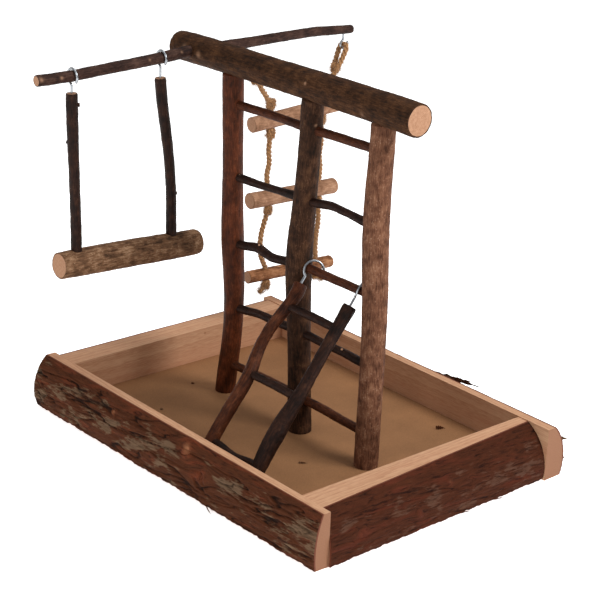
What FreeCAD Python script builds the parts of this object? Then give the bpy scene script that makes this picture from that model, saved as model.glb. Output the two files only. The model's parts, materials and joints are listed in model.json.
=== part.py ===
"""A play stand for small parrots: bark tray, branch frame, swing, lean-to ladder and rope ladder.

Row frame in millimetres: the origin is on the surface that the tray stands on, at the middle of the
whole object, +X runs along the long slabs and the beam, +Y to the rear slab and +Z up.
"""
import FreeCAD
import Part
import math
import os

import Sketcher

Vector = FreeCAD.Vector
Rotation = FreeCAD.Rotation
Placement = FreeCAD.Placement

# ---------------------------------------------------------------- driving dimensions

SIZES = {
    # tray
    "tray_middle": -2.75,
    "inside_length": 331.5,
    "inside_width": 258,
    "left_slab_cover": 31.5,
    "right_slab_cover": 37,
    "slab_height": 50,
    "short_slab_drop": 1,
    "floor_thickness": 16,
    "floor_gap": 0.2,
    "front_slab_edge": 9.4,
    "front_slab_foot": 18,
    "front_slab_bulge": 5.6,
    "rear_slab_edge": 9.8,
    "rear_slab_foot": 20.5,
    "rear_slab_bulge": 6.8,
    "left_slab_edge": 26,
    "left_slab_foot": 34,
    "left_slab_bulge": 5,
    "right_slab_edge": 20,
    "right_slab_foot": 39.5,
    "right_slab_bulge": 6.5,
    "nail_radius": 0.8,
    "nail_length": 30,
    "nail_inset": 12,
    # frame
    "frame_row": -2.7,
    "left_post_place": -95,
    "middle_post_place": 13,
    "right_post_place": 104,
    "left_post_radius": 9.8,
    "middle_post_radius": 10.7,
    "right_post_radius": 10.9,
    "rung_radius": 4,
    "rung_depth": 5,
    "first_rung_height": 47.5,
    "top_rung_drop": 36.5,
    "beam_height": 340,
    "beam_radius": 13.8,
    "beam_far_overhang": 30.5,
    "beam_near_overhang": 41,
    "saddle_depth": 3.6,
    "saddle_gap": 0.3,
    "dowel_radius": 3,
    "dowel_depth": 11,
    "screw_radius": 2,
    "screw_length": 42,
    "screw_head_radius": 4.2,
    "screw_head_height": 3,
    "screw_sink": 0.3,
    "glue_gap": 0.05,
    "socket_gap": 0.1,
    # cross arm
    "arm_place": -145,
    "arm_radius": 5,
    "arm_front_tip": 37,
    "arm_rear_tip": 9,
    # cup hooks
    "hook_wire_radius": 1.1,
    "hook_thread": 9,
    "hook_bend_radius": 2.6,
    "hook_gap": 0.3,
    "rope_hook_thread": 6.5,
    "rope_hook_radius": 4.5,
    "rope_hook_aside": 1.5,
    "rope_hook_drop": 19.5,
    # swing
    "swing_front": -142.5,
    "swing_back": -46.8,
    "swing_front_seat": -140,
    "swing_back_seat": -33.8,
    "swing_front_neck": 7,
    "swing_back_neck": 10.5,
    "swing_ring_radius": 7.2,
    "swing_hook_aside": 1.5,
    "swing_rod_radius": 5.1,
    "swing_rod_depth": 8,
    "swing_log_radius": 12.6,
    "swing_log_height": 160.5,
    "swing_log_front_end": 18,
    "swing_log_back_end": 29.8,
    # lean-to ladder
    "stile_radius": 6.5,
    "ladder_foot_gap": 0.3,
    "ladder_left_clearance": 0.7,
    "ladder_right_clearance": 3.7,
    "ladder_rung_radius": 3.7,
    "ladder_rung_depth": 4,
    "ladder_first_rung": 22,
    "ladder_last_rung": 22.5,
    "ladder_hook_radius": 9,
    "ladder_hook_aside": 4.8,
    "ladder_hook_reach": 16.5,
    # rope ladder
    "rope_radius": 2.5,
    "rope_hole_gap": 0.5,
    "rope_inner_place": 84.5,
    "rope_outer_place": 150,
    "rope_inner_spread": 34,
    "rope_outer_spread": 25.5,
    "knot_radius": 5,
    "knot_seat": 4.7,
    "perch_inner_end": 23.5,
    "perch_outer_end": 20,
    "perch_radius": 7.8,
    "slim_perch_radius": 6.3,
}

doc = FreeCAD.newDocument("ParrotPlayStand")
sheet = doc.addObject("Spreadsheet::Sheet", "Sizes")
for row, (name, value) in enumerate(SIZES.items(), start=1):
    sheet.set(f"A{row}", name)
    sheet.set(f"B{row}", str(value))
    sheet.setAlias(f"B{row}", name)
doc.recompute()


def size(name):
    """The value of one driving dimension, read from the sheet."""
    return float(getattr(sheet, name))


def value_of(expression):
    """The number that an expression of the sheet's names gives."""
    return float(sheet.evalExpression(expression))


NODES = {}


def keep(label, piece, place=None):
    """Names a finished piece, puts it in its place and lists it for export."""
    piece.Label = label
    if place is not None:
        piece.Placement = place
    NODES[label] = piece
    return piece


# ---------------------------------------------------------------- ways a piece can point

UP = Vector(0, 0, 1)
ALONG = {
    "x": Rotation(Vector(0, 1, 0), 90),
    "y": Rotation(Vector(1, 0, 0), -90),
    "z": Rotation(),
}


def place_at(x, y, z, turn=ALONG["z"]):
    """A placement in the row frame."""
    return Placement(Vector(x, y, z), turn)


# ---------------------------------------------------------------- shared ways of making things

POCKETS = []
HOLE_PLANES = {"x": "YZ_Plane", "y": "XZ_Plane", "z": "XY_Plane"}


def sketch_on(body, name, role, offset):
    """A sketch on one of the body's own planes, moved by three expressions along the plane's axes."""
    sketch = body.newObject("Sketcher::SketchObject", name)
    plane = [item for item in body.Origin.OriginFeatures if item.Role == role][0]
    sketch.AttachmentSupport = [(plane, "")]
    sketch.MapMode = "FlatFace"
    for axis, amount in zip("xyz", offset):
        sketch.setExpression(f"AttachmentOffset.Base.{axis}", amount)
    return sketch


def rule(sketch, constraint, amount=None):
    """Adds a constraint to a sketch, with its value set by an expression if one is given."""
    number = sketch.addConstraint(Sketcher.Constraint(*constraint))
    if amount is not None:
        sketch.setExpression(f"Constraints[{number}]", amount)


def add_ring(sketch, radius):
    """A circle about the sketch's origin, with its radius set by an expression."""
    first_guess = 5
    sketch.addGeometry(Part.Circle(Vector(), UP, first_guess), False)
    rule(sketch, ("Coincident", 0, 3, -1, 1))
    rule(sketch, ("Radius", 0, first_guess), radius)


def branch(label, radius, stations, straight=False):
    """A round branch along its body's Z axis, lofted through circles, smoothly or in straight steps.

    A station is (height, aside, away, girth). Height is an expression. Aside and away, along the
    body's X and Y axes, are shares of the radius or expressions of their own. Girth is a share.
    """
    body = doc.addObject("PartDesign::Body", label)
    rings = []
    for number, (height, aside, away, girth) in enumerate(stations):
        shifts = [move if isinstance(move, str) else f"{radius} * {move}" for move in (aside, away)]
        ring = sketch_on(body, f"{label}_ring_{number}", "XY_Plane", (*shifts, height))
        add_ring(ring, f"{radius} * {girth}")
        rings.append(ring)
    loft = body.newObject("PartDesign::AdditiveLoft", f"{label}_wood")
    loft.Profile = rings[0]
    loft.Sections = rings[1:]
    loft.Ruled = straight
    doc.recompute()
    return body


def drill(body, name, axis, start, way, radius, depth):
    """A round hole along one of the body's axes, from a start point (three expressions).

    way is +1 to cut toward the axis's positive end and -1 to cut the other way.
    """
    x, y, z = start
    offset = {"x": (y, z, x), "y": (x, z, f"-({y})"), "z": (x, y, z)}[axis]
    sketch = sketch_on(body, f"{name}_ring", HOLE_PLANES[axis], offset)
    add_ring(sketch, radius)
    pocket = body.newObject("PartDesign::Pocket", name)
    pocket.Profile = sketch
    pocket.setExpression("Length", depth)
    pocket.Reversed = way < 0 if axis == "y" else way > 0
    POCKETS.append(pocket)


def pin(name, radius, length, place):
    """A plain round pin, for the groups of fasteners."""
    piece = doc.addObject("Part::Cylinder", name)
    piece.setExpression("Radius", radius)
    piece.setExpression("Height", length)
    piece.Placement = place
    return piece


def group(label, pieces):
    """Several like pieces that share one node, each still a solid of its own."""
    bundle = doc.addObject("Part::Compound", label)
    bundle.Links = pieces
    return keep(label, bundle)


# ---------------------------------------------------------------- tray

LEFT_INNER = size("tray_middle") - size("inside_length") / 2
RIGHT_INNER = size("tray_middle") + size("inside_length") / 2
REAR_INNER = size("inside_width") / 2

# Shares of each slab's edge, foot and bulge at its two ends.
SLAB_ENDS = {
    "front": ((0.9, 0.82, 0.62), (1.08, 1.16, 1.45)),
    "rear": ((0.98, 1.0, 1.0), (1.0, 1.0, 1.05)),
    "right": ((0.61, 0.88, 1.45), (1.38, 1.0, 0.7)),
    "left": ((1.0, 1.0, 1.0), (1.0, 0.95, 1.0)),
}


def slab_profile(body, name, height, edge, foot, bulge, distance):
    """One end of a slab: flat inside and top, and a round bark side from the top edge to the foot."""
    sketch = sketch_on(body, name, "XY_Plane", ("0", "0", distance))
    tall, thin, thick, round_out = 50, 10, 18, 5
    lean = math.atan2(thick - thin, tall)
    half = math.hypot(tall, thick - thin) / 2
    radius = (half ** 2 + round_out ** 2) / (2 * round_out)
    middle = Vector((thin + thick) / 2, tall / 2, 0)
    center = middle - Vector(math.cos(lean), math.sin(lean), 0) * (radius - round_out)
    lowest = math.atan2(-center.y, thick - center.x)
    highest = math.atan2(tall - center.y, thin - center.x)
    sketch.addGeometry(Part.LineSegment(Vector(0, 0, 0), Vector(0, tall, 0)), False)
    sketch.addGeometry(Part.LineSegment(Vector(0, tall, 0), Vector(thin, tall, 0)), False)
    sketch.addGeometry(Part.ArcOfCircle(Part.Circle(center, UP, radius), lowest, highest), False)
    sketch.addGeometry(Part.LineSegment(Vector(thick, 0, 0), Vector(0, 0, 0)), False)
    for constraint in (("Coincident", 0, 1, -1, 1), ("Vertical", 0), ("Coincident", 0, 2, 1, 1),
                       ("Horizontal", 1), ("Coincident", 2, 2, 1, 2), ("Coincident", 2, 1, 3, 1),
                       ("Coincident", 3, 2, 0, 1), ("Horizontal", 3)):
        rule(sketch, constraint)
    quarter_chord = f"(({height})^2 + ({foot} - {edge})^2) / 4"
    rule(sketch, ("DistanceY", 0, 1, 0, 2, tall), height)
    rule(sketch, ("DistanceX", 1, 1, 1, 2, thin), edge)
    rule(sketch, ("DistanceX", 3, 2, 3, 1, thick), foot)
    rule(sketch, ("Radius", 2, radius), f"({quarter_chord} + ({bulge})^2) / (2 * ({bulge}))")
    return sketch


def make_slab(side, height, length, outward, start):
    """A half-round slab from its start point, with its flat side inward and its bark outward."""
    body = doc.addObject("PartDesign::Body", f"{side}_slab")
    profiles = []
    for number, shares in enumerate(SLAB_ENDS[side]):
        edge, foot, bulge = [f"(Sizes.{side}_slab_{part} * {share})"
                             for part, share in zip(("edge", "foot", "bulge"), shares)]
        profiles.append(slab_profile(body, f"{side}_slab_end_{number}", height, edge, foot, bulge,
                                     f"({length}) * {number}"))
    loft = body.newObject("PartDesign::AdditiveLoft", f"{side}_slab_wood")
    loft.Profile = profiles[0]
    loft.Sections = profiles[1:]
    loft.Ruled = True
    turn = Rotation(outward, UP, outward.cross(UP), "XYZ")
    keep(f"{side}_slab", body, place_at(*start, 0, turn))


def make_floor():
    """The fibreboard panel between the slabs, with a sunk hole under each post."""
    body = doc.addObject("PartDesign::Body", "floor_panel")
    outline = sketch_on(body, "floor_outline", "XY_Plane", ("0", "0", "0"))
    reach = 130
    corners = [Vector(-reach, -reach), Vector(reach, -reach), Vector(reach, reach), Vector(-reach, reach)]
    for number, corner in enumerate(corners):
        outline.addGeometry(Part.LineSegment(corner, corners[(number + 1) % 4]), False)
    for number in range(4):
        rule(outline, ("Coincident", number, 2, (number + 1) % 4, 1))
        rule(outline, (("Horizontal", "Vertical")[number % 2], number))
    rule(outline, ("Symmetric", 0, 1, 2, 1, -1, 1))
    rule(outline, ("DistanceX", 0, 1, 0, 2, 2 * reach), "Sizes.inside_length - 2 * Sizes.floor_gap")
    rule(outline, ("DistanceY", 1, 1, 1, 2, 2 * reach), "Sizes.inside_width - 2 * Sizes.floor_gap")
    pad = body.newObject("PartDesign::Pad", "floor_board")
    pad.Profile = outline
    pad.setExpression("Length", "Sizes.floor_thickness")
    doc.recompute()
    for post in POSTS:
        center = (f"{post_spot(post, 0)} - Sizes.tray_middle", "Sizes.frame_row", "0")
        drill(body, f"{post}_screw_hole", "z", center, 1, "Sizes.screw_radius + Sizes.glue_gap",
              "2 * Sizes.floor_thickness")
        drill(body, f"{post}_head_hole", "z", center, 1, "Sizes.screw_head_radius + Sizes.glue_gap",
              "Sizes.screw_sink + Sizes.screw_head_height + Sizes.glue_gap")
    keep("floor_panel", body, place_at(size("tray_middle"), 0, 0))


def make_nails():
    """Headless nails, sunk in the bark: two at each corner, and more along the floor panel's edges."""
    length = size("nail_length")
    board = size("floor_thickness") / 2
    half_inside = size("inside_length") / 2
    corner_spots = []
    floor_spots = []
    for start_y in (-REAR_INNER - size("nail_inset"), REAR_INNER + size("nail_inset") - length):
        for x in (LEFT_INNER - size("left_slab_edge") / 2, RIGHT_INNER + size("right_slab_edge") / 4):
            corner_spots += [(x, start_y, size("slab_height") * share, ALONG["y"]) for share in (0.3, 0.7)]
        floor_spots += [(size("tray_middle") + half_inside * share, start_y, board, ALONG["y"])
                        for share in (-0.7, 0, 0.7)]
    for start_x in (LEFT_INNER - size("nail_inset"), RIGHT_INNER + size("nail_inset") - length):
        floor_spots += [(start_x, REAR_INNER * share, board, ALONG["x"]) for share in (-0.55, 0.55)]
    for label, spots in (("corner_nails", corner_spots), ("floor_nails", floor_spots)):
        group(label, [pin(f"{label}_{number}", "Sizes.nail_radius", "Sizes.nail_length", place_at(*spot))
                      for number, spot in enumerate(spots)])


def make_tray():
    """The four slabs round the floor panel, and the nails that hold them."""
    left_end = LEFT_INNER - size("left_slab_cover")
    right_end = RIGHT_INNER + size("right_slab_cover")
    long = "Sizes.inside_length + Sizes.left_slab_cover + Sizes.right_slab_cover"
    short = "Sizes.inside_width"
    low = "Sizes.slab_height - Sizes.short_slab_drop"
    make_slab("front", "Sizes.slab_height", long, Vector(0, -1, 0), (right_end, -REAR_INNER))
    make_slab("rear", "Sizes.slab_height", long, Vector(0, 1, 0), (left_end, REAR_INNER))
    make_slab("right", low, short, Vector(1, 0, 0), (RIGHT_INNER, REAR_INNER))
    make_slab("left", low, short, Vector(-1, 0, 0), (LEFT_INNER, -REAR_INNER))
    make_floor()
    make_nails()


# ---------------------------------------------------------------- frame

RUNG_COUNT = 5
TOP = RUNG_COUNT + 1
# Each post: how far it leans along X and how thick it is, as shares of its radius, at the foot,
# at the five rungs and at the top.
POSTS = {
    "left_post": {"bends": (-0.12, 0.31, 0.90, 0.47, 0.22, 0.0, -0.06),
                  "girths": (0.99, 0.97, 0.96, 1.09, 0.98, 1.01, 1.01)},
    "middle_post": {"bends": (0.21, -0.05, -0.42, -0.77, -0.34, 0.06, 0.14),
                    "girths": (1.02, 1.01, 1.0, 1.12, 0.98, 0.93, 0.91)},
    "right_post": {"bends": (0.12, 0.15, 0.21, 0.09, -0.23, -0.07, -0.04),
                   "girths": (1.0, 0.99, 0.98, 1.03, 1.05, 0.98, 0.965)},
}
# The beam's sag (downward) and girth over each post, as shares of its radius.
BEAM_OVER = {"left_post": (-0.01, 0.978), "middle_post": (-0.03, 0.975), "right_post": (0.0, 1.02)}
BAYS = {"left": ("left_post", "middle_post"), "right": ("middle_post", "right_post")}
# Each rung, lowest first: how far its two ends are off even spacing, then (forward, rise, girth) at
# a third and at two thirds of its length, all as shares of the rung's radius.
RUNG_SHAPES = {
    "left": ((-0.22, 0.3, (0.1, 0.0, 1.05), (0.0, 0.35, 1.0)),
             (-1.25, -0.1, (0.2, -0.5, 0.95), (0.1, -0.4, 1.0)),
             (-1.5, -0.55, (0.3, -0.55, 1.12), (-0.1, -1.35, 1.0)),
             (-1.55, -0.68, (0.0, -1.4, 0.9), (0.1, -1.05, 0.85)),
             (-0.62, -0.42, (0.1, -0.45, 1.0), (0.0, -0.35, 0.95))),
    "right": ((0.2, -0.2, (0.0, 0.15, 1.05), (0.0, -0.1, 1.0)),
              (0.08, -0.22, (0.1, -0.1, 0.9), (0.1, 0.0, 0.95)),
              (0.0, 0.0, (0.0, -0.08, 1.0), (0.0, -0.05, 0.97)),
              (-0.52, -0.4, (0.1, 0.25, 0.95), (0.0, 0.0, 0.85)),
              (-0.28, 0.05, (0.1, -0.2, 1.0), (0.0, -0.1, 1.0))),
}
HOOKED_BAY, HOOKED_RUNG = "right", RUNG_COUNT // 2


def post_spot(post, station):
    """A post's X place, as an expression: 0 is the foot, 1 to 5 are the rungs and 6 is the top."""
    return f"Sizes.{post}_place + Sizes.{post}_radius * {POSTS[post]['bends'][station]}"


def rung_height(bay, number, end):
    """The height of a rung's left (0) or right (1) end, counted from 0 at the lowest, as an expression."""
    pitch = "(Sizes.beam_height - Sizes.top_rung_drop - Sizes.first_rung_height)"
    share = number / (RUNG_COUNT - 1)
    stray = RUNG_SHAPES[bay][number][end]
    return f"Sizes.first_rung_height + {pitch} * {share} + Sizes.rung_radius * {stray}"


def seat_height(post):
    """The height of the lowest point of the beam's seat on a post, as an expression."""
    sag, girth = BEAM_OVER[post]
    return f"Sizes.beam_height - Sizes.beam_radius * {sag + girth} - Sizes.saddle_gap"


def make_post(post):
    """A post from the floor panel to a saddle under the beam, with its sockets, screw and dowel holes."""
    radius = f"Sizes.{post}_radius"
    bends = POSTS[post]["bends"]
    sag, girth = BEAM_OVER[post]
    floor = "Sizes.floor_thickness"
    bay_of_knots = "left" if post == "left_post" else "right"
    end_of_knots = 0 if post in BAYS[bay_of_knots][:1] else 1
    heights = ["0"]
    heights += [f"{rung_height(bay_of_knots, number, end_of_knots)} - {floor}"
                for number in range(RUNG_COUNT)]
    heights.append(f"{seat_height(post)} + Sizes.saddle_depth - {floor}")
    body = branch(post, radius, [(height, bend, 0, thickness) for height, bend, thickness
                                 in zip(heights, bends, POSTS[post]["girths"])])
    across = f"4 * {radius}"
    drill(body, f"{post}_saddle", "x",
          (f"-2 * {radius}", "0", f"Sizes.beam_height - Sizes.beam_radius * {sag} - {floor}"), 1,
          f"Sizes.beam_radius * {girth} + Sizes.saddle_gap", across)
    drill(body, f"{post}_dowel_hole", "z",
          (f"{radius} * {bends[TOP]}", "0", f"{seat_height(post)} - Sizes.dowel_depth - {floor}"), 1,
          "Sizes.dowel_radius + Sizes.glue_gap", "2 * Sizes.dowel_depth + Sizes.beam_radius")
    drill(body, f"{post}_pilot_hole", "z",
          (f"{radius} * {bends[0]}", "0", f"Sizes.screw_length + Sizes.glue_gap - {floor}"), -1,
          "Sizes.screw_radius + Sizes.glue_gap", "2 * Sizes.screw_length")
    for bay, posts in BAYS.items():
        if post not in posts:
            continue
        end = posts.index(post)
        way = 1 - 2 * end
        for number in range(RUNG_COUNT):
            inner = f"{way} * ({radius} - Sizes.rung_depth - Sizes.glue_gap)"
            drill(body, f"{post}_{bay}_socket_{number + 1}", "x",
                  (f"{radius} * {bends[number + 1]} + {inner}", "0",
                   f"{rung_height(bay, number, end)} - {floor}"), way,
                  "Sizes.rung_radius + Sizes.socket_gap", across)
    keep(post, body, place_at(size(f"{post}_place"), size("frame_row"), size("floor_thickness")))


def make_rungs():
    """Ten rungs, each from one post's socket to the next post's."""
    for bay, (left, right) in BAYS.items():
        for number, (low, high, near, far) in enumerate(RUNG_SHAPES[bay]):
            start = f"{post_spot(left, number + 1)} + Sizes.{left}_radius - Sizes.rung_depth"
            finish = f"{post_spot(right, number + 1)} - Sizes.{right}_radius + Sizes.rung_depth"
            length = f"({finish} - ({start}))"
            stations = [("0", 0, 0, 1), (f"{length} * 0.12", 0, 0, 1),
                        (f"{length} * 0.36", low - near[1], near[0], near[2]),
                        (f"{length} * 0.64", low - far[1], far[0], far[2]),
                        (f"{length} * 0.88", low - high, 0, 1), (length, low - high, 0, 1)]
            label = f"{bay}_rung_{number + 1}"
            body = branch(label, "Sizes.rung_radius", stations, straight=True)
            keep(label, body, place_at(value_of(start), size("frame_row"),
                                       value_of(rung_height(bay, number, 0)), ALONG["x"]))


def make_beam():
    """The top beam, with a drilled hole for the cross arm and blind holes for the dowels."""
    radius = "Sizes.beam_radius"
    far_end = "(Sizes.arm_place - Sizes.beam_far_overhang)"
    length = f"Sizes.right_post_place + Sizes.beam_near_overhang - {far_end}"
    stations = [("0", 0.08, 0, 0.96), ("Sizes.beam_far_overhang", 0.02, 0.02, 0.985)]
    stations += [(f"{post_spot(post, TOP)} - {far_end}", sag, 0, girth)
                 for post, (sag, girth) in BEAM_OVER.items()]
    stations.append((length, 0.06, 0, 1.04))
    body = branch("top_beam", radius, stations)
    drill(body, "arm_hole", "y", ("0", f"-2 * {radius}", "Sizes.beam_far_overhang"), 1,
          f"{arm_girth('beam_front')} + Sizes.socket_gap", f"4 * {radius}")
    for post, (sag, girth) in BEAM_OVER.items():
        top = f"Sizes.beam_height - ({seat_height(post)}) - Sizes.dowel_depth - Sizes.glue_gap"
        drill(body, f"beam_hole_{post}", "x", (top, "0", f"{post_spot(post, TOP)} - {far_end}"), 1,
              "Sizes.dowel_radius + Sizes.glue_gap", f"2 * {radius}")
    keep("top_beam", body,
         place_at(value_of(far_end), size("frame_row"), size("beam_height"), ALONG["x"]))


def make_frame_fasteners():
    """A screw up into each post's foot and a dowel from each post's top into the beam."""
    screws = []
    dowels = []
    row = size("frame_row")
    for post in POSTS:
        under = place_at(value_of(post_spot(post, 0)), row, size("screw_sink"))
        screw = doc.addObject("Part::Fuse", f"{post}_screw")
        screw.Base = pin(f"{post}_screw_head", "Sizes.screw_head_radius", "Sizes.screw_head_height", under)
        screw.Tool = pin(f"{post}_screw_shank", "Sizes.screw_radius",
                         "Sizes.screw_length - Sizes.screw_sink", under)
        screws.append(screw)
        low = value_of(f"{seat_height(post)} - Sizes.dowel_depth")
        dowels.append(pin(f"{post}_dowel", "Sizes.dowel_radius", "2 * Sizes.dowel_depth",
                          place_at(value_of(post_spot(post, TOP)), row, low)))
    group("post_screws", screws)
    group("beam_dowels", dowels)


def make_frame():
    """Posts, rungs, beam and what holds them together."""
    for post in POSTS:
        make_post(post)
    make_rungs()
    make_beam()
    make_frame_fasteners()


# ---------------------------------------------------------------- cup hooks

def cup_hook(label, ring_radius, ring_aside, reach, thread, tip_angle, place):
    """A screw hook bent from one wire, drawn in its own XZ plane.

    The thread lies below the origin, the neck runs up Z, and the ring's middle is ring_aside along X
    and reach along Z. The ring runs from the neck over the top to the tip, at tip_angle from +X.
    """
    bend = size("hook_bend_radius")
    middle = Vector(ring_aside, 0, reach)
    rise = math.sqrt((ring_radius + bend) ** 2 - (bend + ring_aside) ** 2)
    bend_center = Vector(-bend, 0, reach - rise)
    neck_top = Vector(0, 0, bend_center.z)
    toward_ring = middle - bend_center
    joint = math.atan2(toward_ring.z, toward_ring.x)
    tip = math.radians(tip_angle)

    def on_circle(center, radius, angle):
        return center + Vector(math.cos(angle), 0, math.sin(angle)) * radius

    meeting = on_circle(bend_center, bend, joint)
    route = Part.Wire([
        Part.LineSegment(Vector(0, 0, -thread), neck_top).toShape(),
        Part.Arc(neck_top, on_circle(bend_center, bend, joint / 2), meeting).toShape(),
        Part.Arc(meeting, on_circle(middle, ring_radius, (joint + math.pi + tip) / 2),
                 on_circle(middle, ring_radius, tip)).toShape(),
    ])
    section = Part.Wire(Part.Circle(Vector(0, 0, -thread), UP, size("hook_wire_radius")).toShape())
    hook = doc.addObject("Part::Feature", label)
    hook.Shape = route.makePipeShell([section], True, False)
    keep(label, hook, place)


# ---------------------------------------------------------------- cross arm and its rope hooks

ARM_FRONT = "(Sizes.swing_front - Sizes.arm_front_tip)"
HOOK_SPOTS = {
    "inner_rope_hook": "Sizes.rope_inner_place - Sizes.rope_inner_spread",
    "outer_rope_hook": "Sizes.rope_outer_place + Sizes.rope_outer_spread",
}
# The arm's stations: (row Y as an expression, rise, girth), the last two as shares of its radius.
ARM = {
    "front_tip": (ARM_FRONT, -1.28, 1.02),
    "behind_tip": ("Sizes.swing_front - Sizes.arm_front_tip / 2", -1.34, 1.02),
    "swing_front": ("Sizes.swing_front", -1.3, 1.02),
    "first_third": ("(2 * Sizes.swing_front + Sizes.swing_back) / 3", -1.0, 1.0),
    "second_third": ("(Sizes.swing_front + 2 * Sizes.swing_back) / 3", -0.72, 1.02),
    "swing_back": ("Sizes.swing_back", -0.42, 1.05),
    "beam_front": ("Sizes.frame_row - 1.3 * Sizes.beam_radius", 0, 1.1),
    "beam_rear": ("Sizes.frame_row + 1.3 * Sizes.beam_radius", 0, 1.1),
    "inner_rope_hook": (HOOK_SPOTS["inner_rope_hook"], 0.08, 1.0),
    "third_between": (f"(2 * ({HOOK_SPOTS['inner_rope_hook']}) + {HOOK_SPOTS['outer_rope_hook']}) / 3",
                      0.22, 0.95),
    "two_thirds_between": (f"({HOOK_SPOTS['inner_rope_hook']} + 2 * ({HOOK_SPOTS['outer_rope_hook']})) / 3",
                           0.32, 0.93),
    "outer_rope_hook": (HOOK_SPOTS["outer_rope_hook"], -0.14, 0.87),
    "rear_tip": (f"{HOOK_SPOTS['outer_rope_hook']} + Sizes.arm_rear_tip", -0.2, 0.84),
}


def arm_axis(spot):
    """The height of the arm's middle line at one of its stations, as an expression."""
    return f"Sizes.beam_height + Sizes.arm_radius * {ARM[spot][1]}"


def arm_girth(spot):
    """The arm's radius at one of its stations, as an expression."""
    return f"Sizes.arm_radius * {ARM[spot][2]}"


def make_arm():
    """The cross arm through the beam, and the two hooks under it that carry the rope ladder."""
    body = branch("cross_arm", "Sizes.arm_radius",
                  [(f"{along} - {ARM_FRONT}", 0, -rise, girth) for along, rise, girth in ARM.values()],
                  straight=True)
    for spot, side in (("inner_rope_hook", -1), ("outer_rope_hook", 1)):
        shank = f"{HOOK_SPOTS[spot]} - {side} * Sizes.rope_hook_aside"
        face = f"{arm_axis(spot)} - {arm_girth(spot)}"
        top = f"Sizes.beam_height - ({face}) - Sizes.rope_hook_thread - Sizes.glue_gap"
        drill(body, f"{spot}_hole", "y", ("0", top, f"{shank} - {ARM_FRONT}"), 1,
              "Sizes.hook_wire_radius + Sizes.glue_gap", "4 * Sizes.arm_radius")
        reach = value_of(f"{face} - ({ROPE_SEAT}) - Sizes.rope_hook_radius")
        turn = Rotation(Vector(0, side, 0), Vector(side, 0, 0), -UP, "XYZ")
        cup_hook(spot, size("rope_hook_radius"), size("rope_hook_aside"), reach,
                 size("rope_hook_thread"), -25,
                 place_at(size("arm_place"), value_of(shank), value_of(face), turn))
    keep("cross_arm", body,
         place_at(size("arm_place"), value_of(ARM_FRONT), size("beam_height"), ALONG["y"]))


# ---------------------------------------------------------------- swing

# Each side of the swing: (aside, along, girth) of the rod at a third and at two thirds of its
# height, as shares of its radius, and the log's rise under it, as a share of the log's radius.
SWING_SIDES = {
    "front": {"bows": ((0.05, -0.2, 0.97), (-0.1, -0.4, 1.02)), "log_rise": -0.06},
    "back": {"bows": ((0.1, -0.28, 0.97), (0.0, -1.4, 1.0)), "log_rise": -0.44},
}
SWING_TIP_ANGLE = -38


def rod_foot(side):
    """The height of the bottom of a rod in its socket in the log, as an expression."""
    rise = SWING_SIDES[side]["log_rise"]
    return f"Sizes.swing_log_height + Sizes.swing_log_radius * {rise + 1} - Sizes.swing_rod_depth"


def make_swing():
    """The log, its two side rods and the two hooks that ride on the cross arm."""
    radius = "Sizes.swing_log_radius"
    start = "(Sizes.swing_front_seat - Sizes.swing_log_front_end)"
    length = f"Sizes.swing_back_seat + Sizes.swing_log_back_end - {start}"
    log = branch("swing_log", radius, [
        ("0", 0, 0, 0.97),
        (f"Sizes.swing_front_seat - {start}", 0, -SWING_SIDES["front"]["log_rise"], 1.0),
        (f"({length}) * 0.46", 0, 0.22, 1.02),
        (f"Sizes.swing_back_seat - {start}", 0, -SWING_SIDES["back"]["log_rise"], 1.0),
        (length, 0, 0.54, 0.96)])
    for side in SWING_SIDES:
        bottom = f"Sizes.swing_log_height - ({rod_foot(side)}) + Sizes.glue_gap"
        drill(log, f"log_{side}_socket", "y", ("0", bottom, f"Sizes.swing_{side}_seat - {start}"), -1,
              "Sizes.swing_rod_radius + Sizes.socket_gap", f"3 * {radius}")
        make_swing_rod(side)
    keep("swing_log", log,
         place_at(size("arm_place"), value_of(start), size("swing_log_height"), ALONG["y"]))


def make_swing_rod(side):
    """One side rod, from its socket in the log to the hook screwed into its top."""
    ring = size("swing_ring_radius")
    wire = size("hook_wire_radius")
    arm = f"swing_{side}"
    play = ring - wire - value_of(arm_girth(arm)) - size("hook_gap")
    ring_height = value_of(arm_axis(arm)) - play
    reach = ring + wire + size(f"swing_{side}_neck")
    top = ring_height - reach
    bottom = value_of(rod_foot(side))
    height = top - bottom
    shift = f"Sizes.swing_{side} - Sizes.swing_{side}_seat"
    aside = "-Sizes.swing_hook_aside"
    low, high = SWING_SIDES[side]["bows"]
    body = branch(f"swing_rod_{side}", "Sizes.swing_rod_radius", [
        ("0", 0, 0, 1), ("Sizes.swing_rod_depth", 0, 0, 1), (f"{height} * 0.36", *low),
        (f"{height} * 0.68", *high), (f"{height}", aside, shift, 1.06)])
    drill(body, f"rod_{side}_hole", "z", (aside, shift, f"{height} - Sizes.hook_thread - Sizes.glue_gap"),
          1, "Sizes.hook_wire_radius + Sizes.glue_gap", "2 * Sizes.hook_thread")
    keep(f"swing_rod_{side}", body, place_at(size("arm_place"), size(f"swing_{side}_seat"), bottom))
    cup_hook(f"swing_hook_{side}", ring, size("swing_hook_aside"), reach, size("hook_thread"),
             SWING_TIP_ANGLE, place_at(size("arm_place") - size("swing_hook_aside"), size(arm), top))


# ---------------------------------------------------------------- lean-to ladder

LADDER_RUNGS = 3
LADDER_TIP_ANGLE = 20
LADDER_HOOK_TURN = 35
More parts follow.
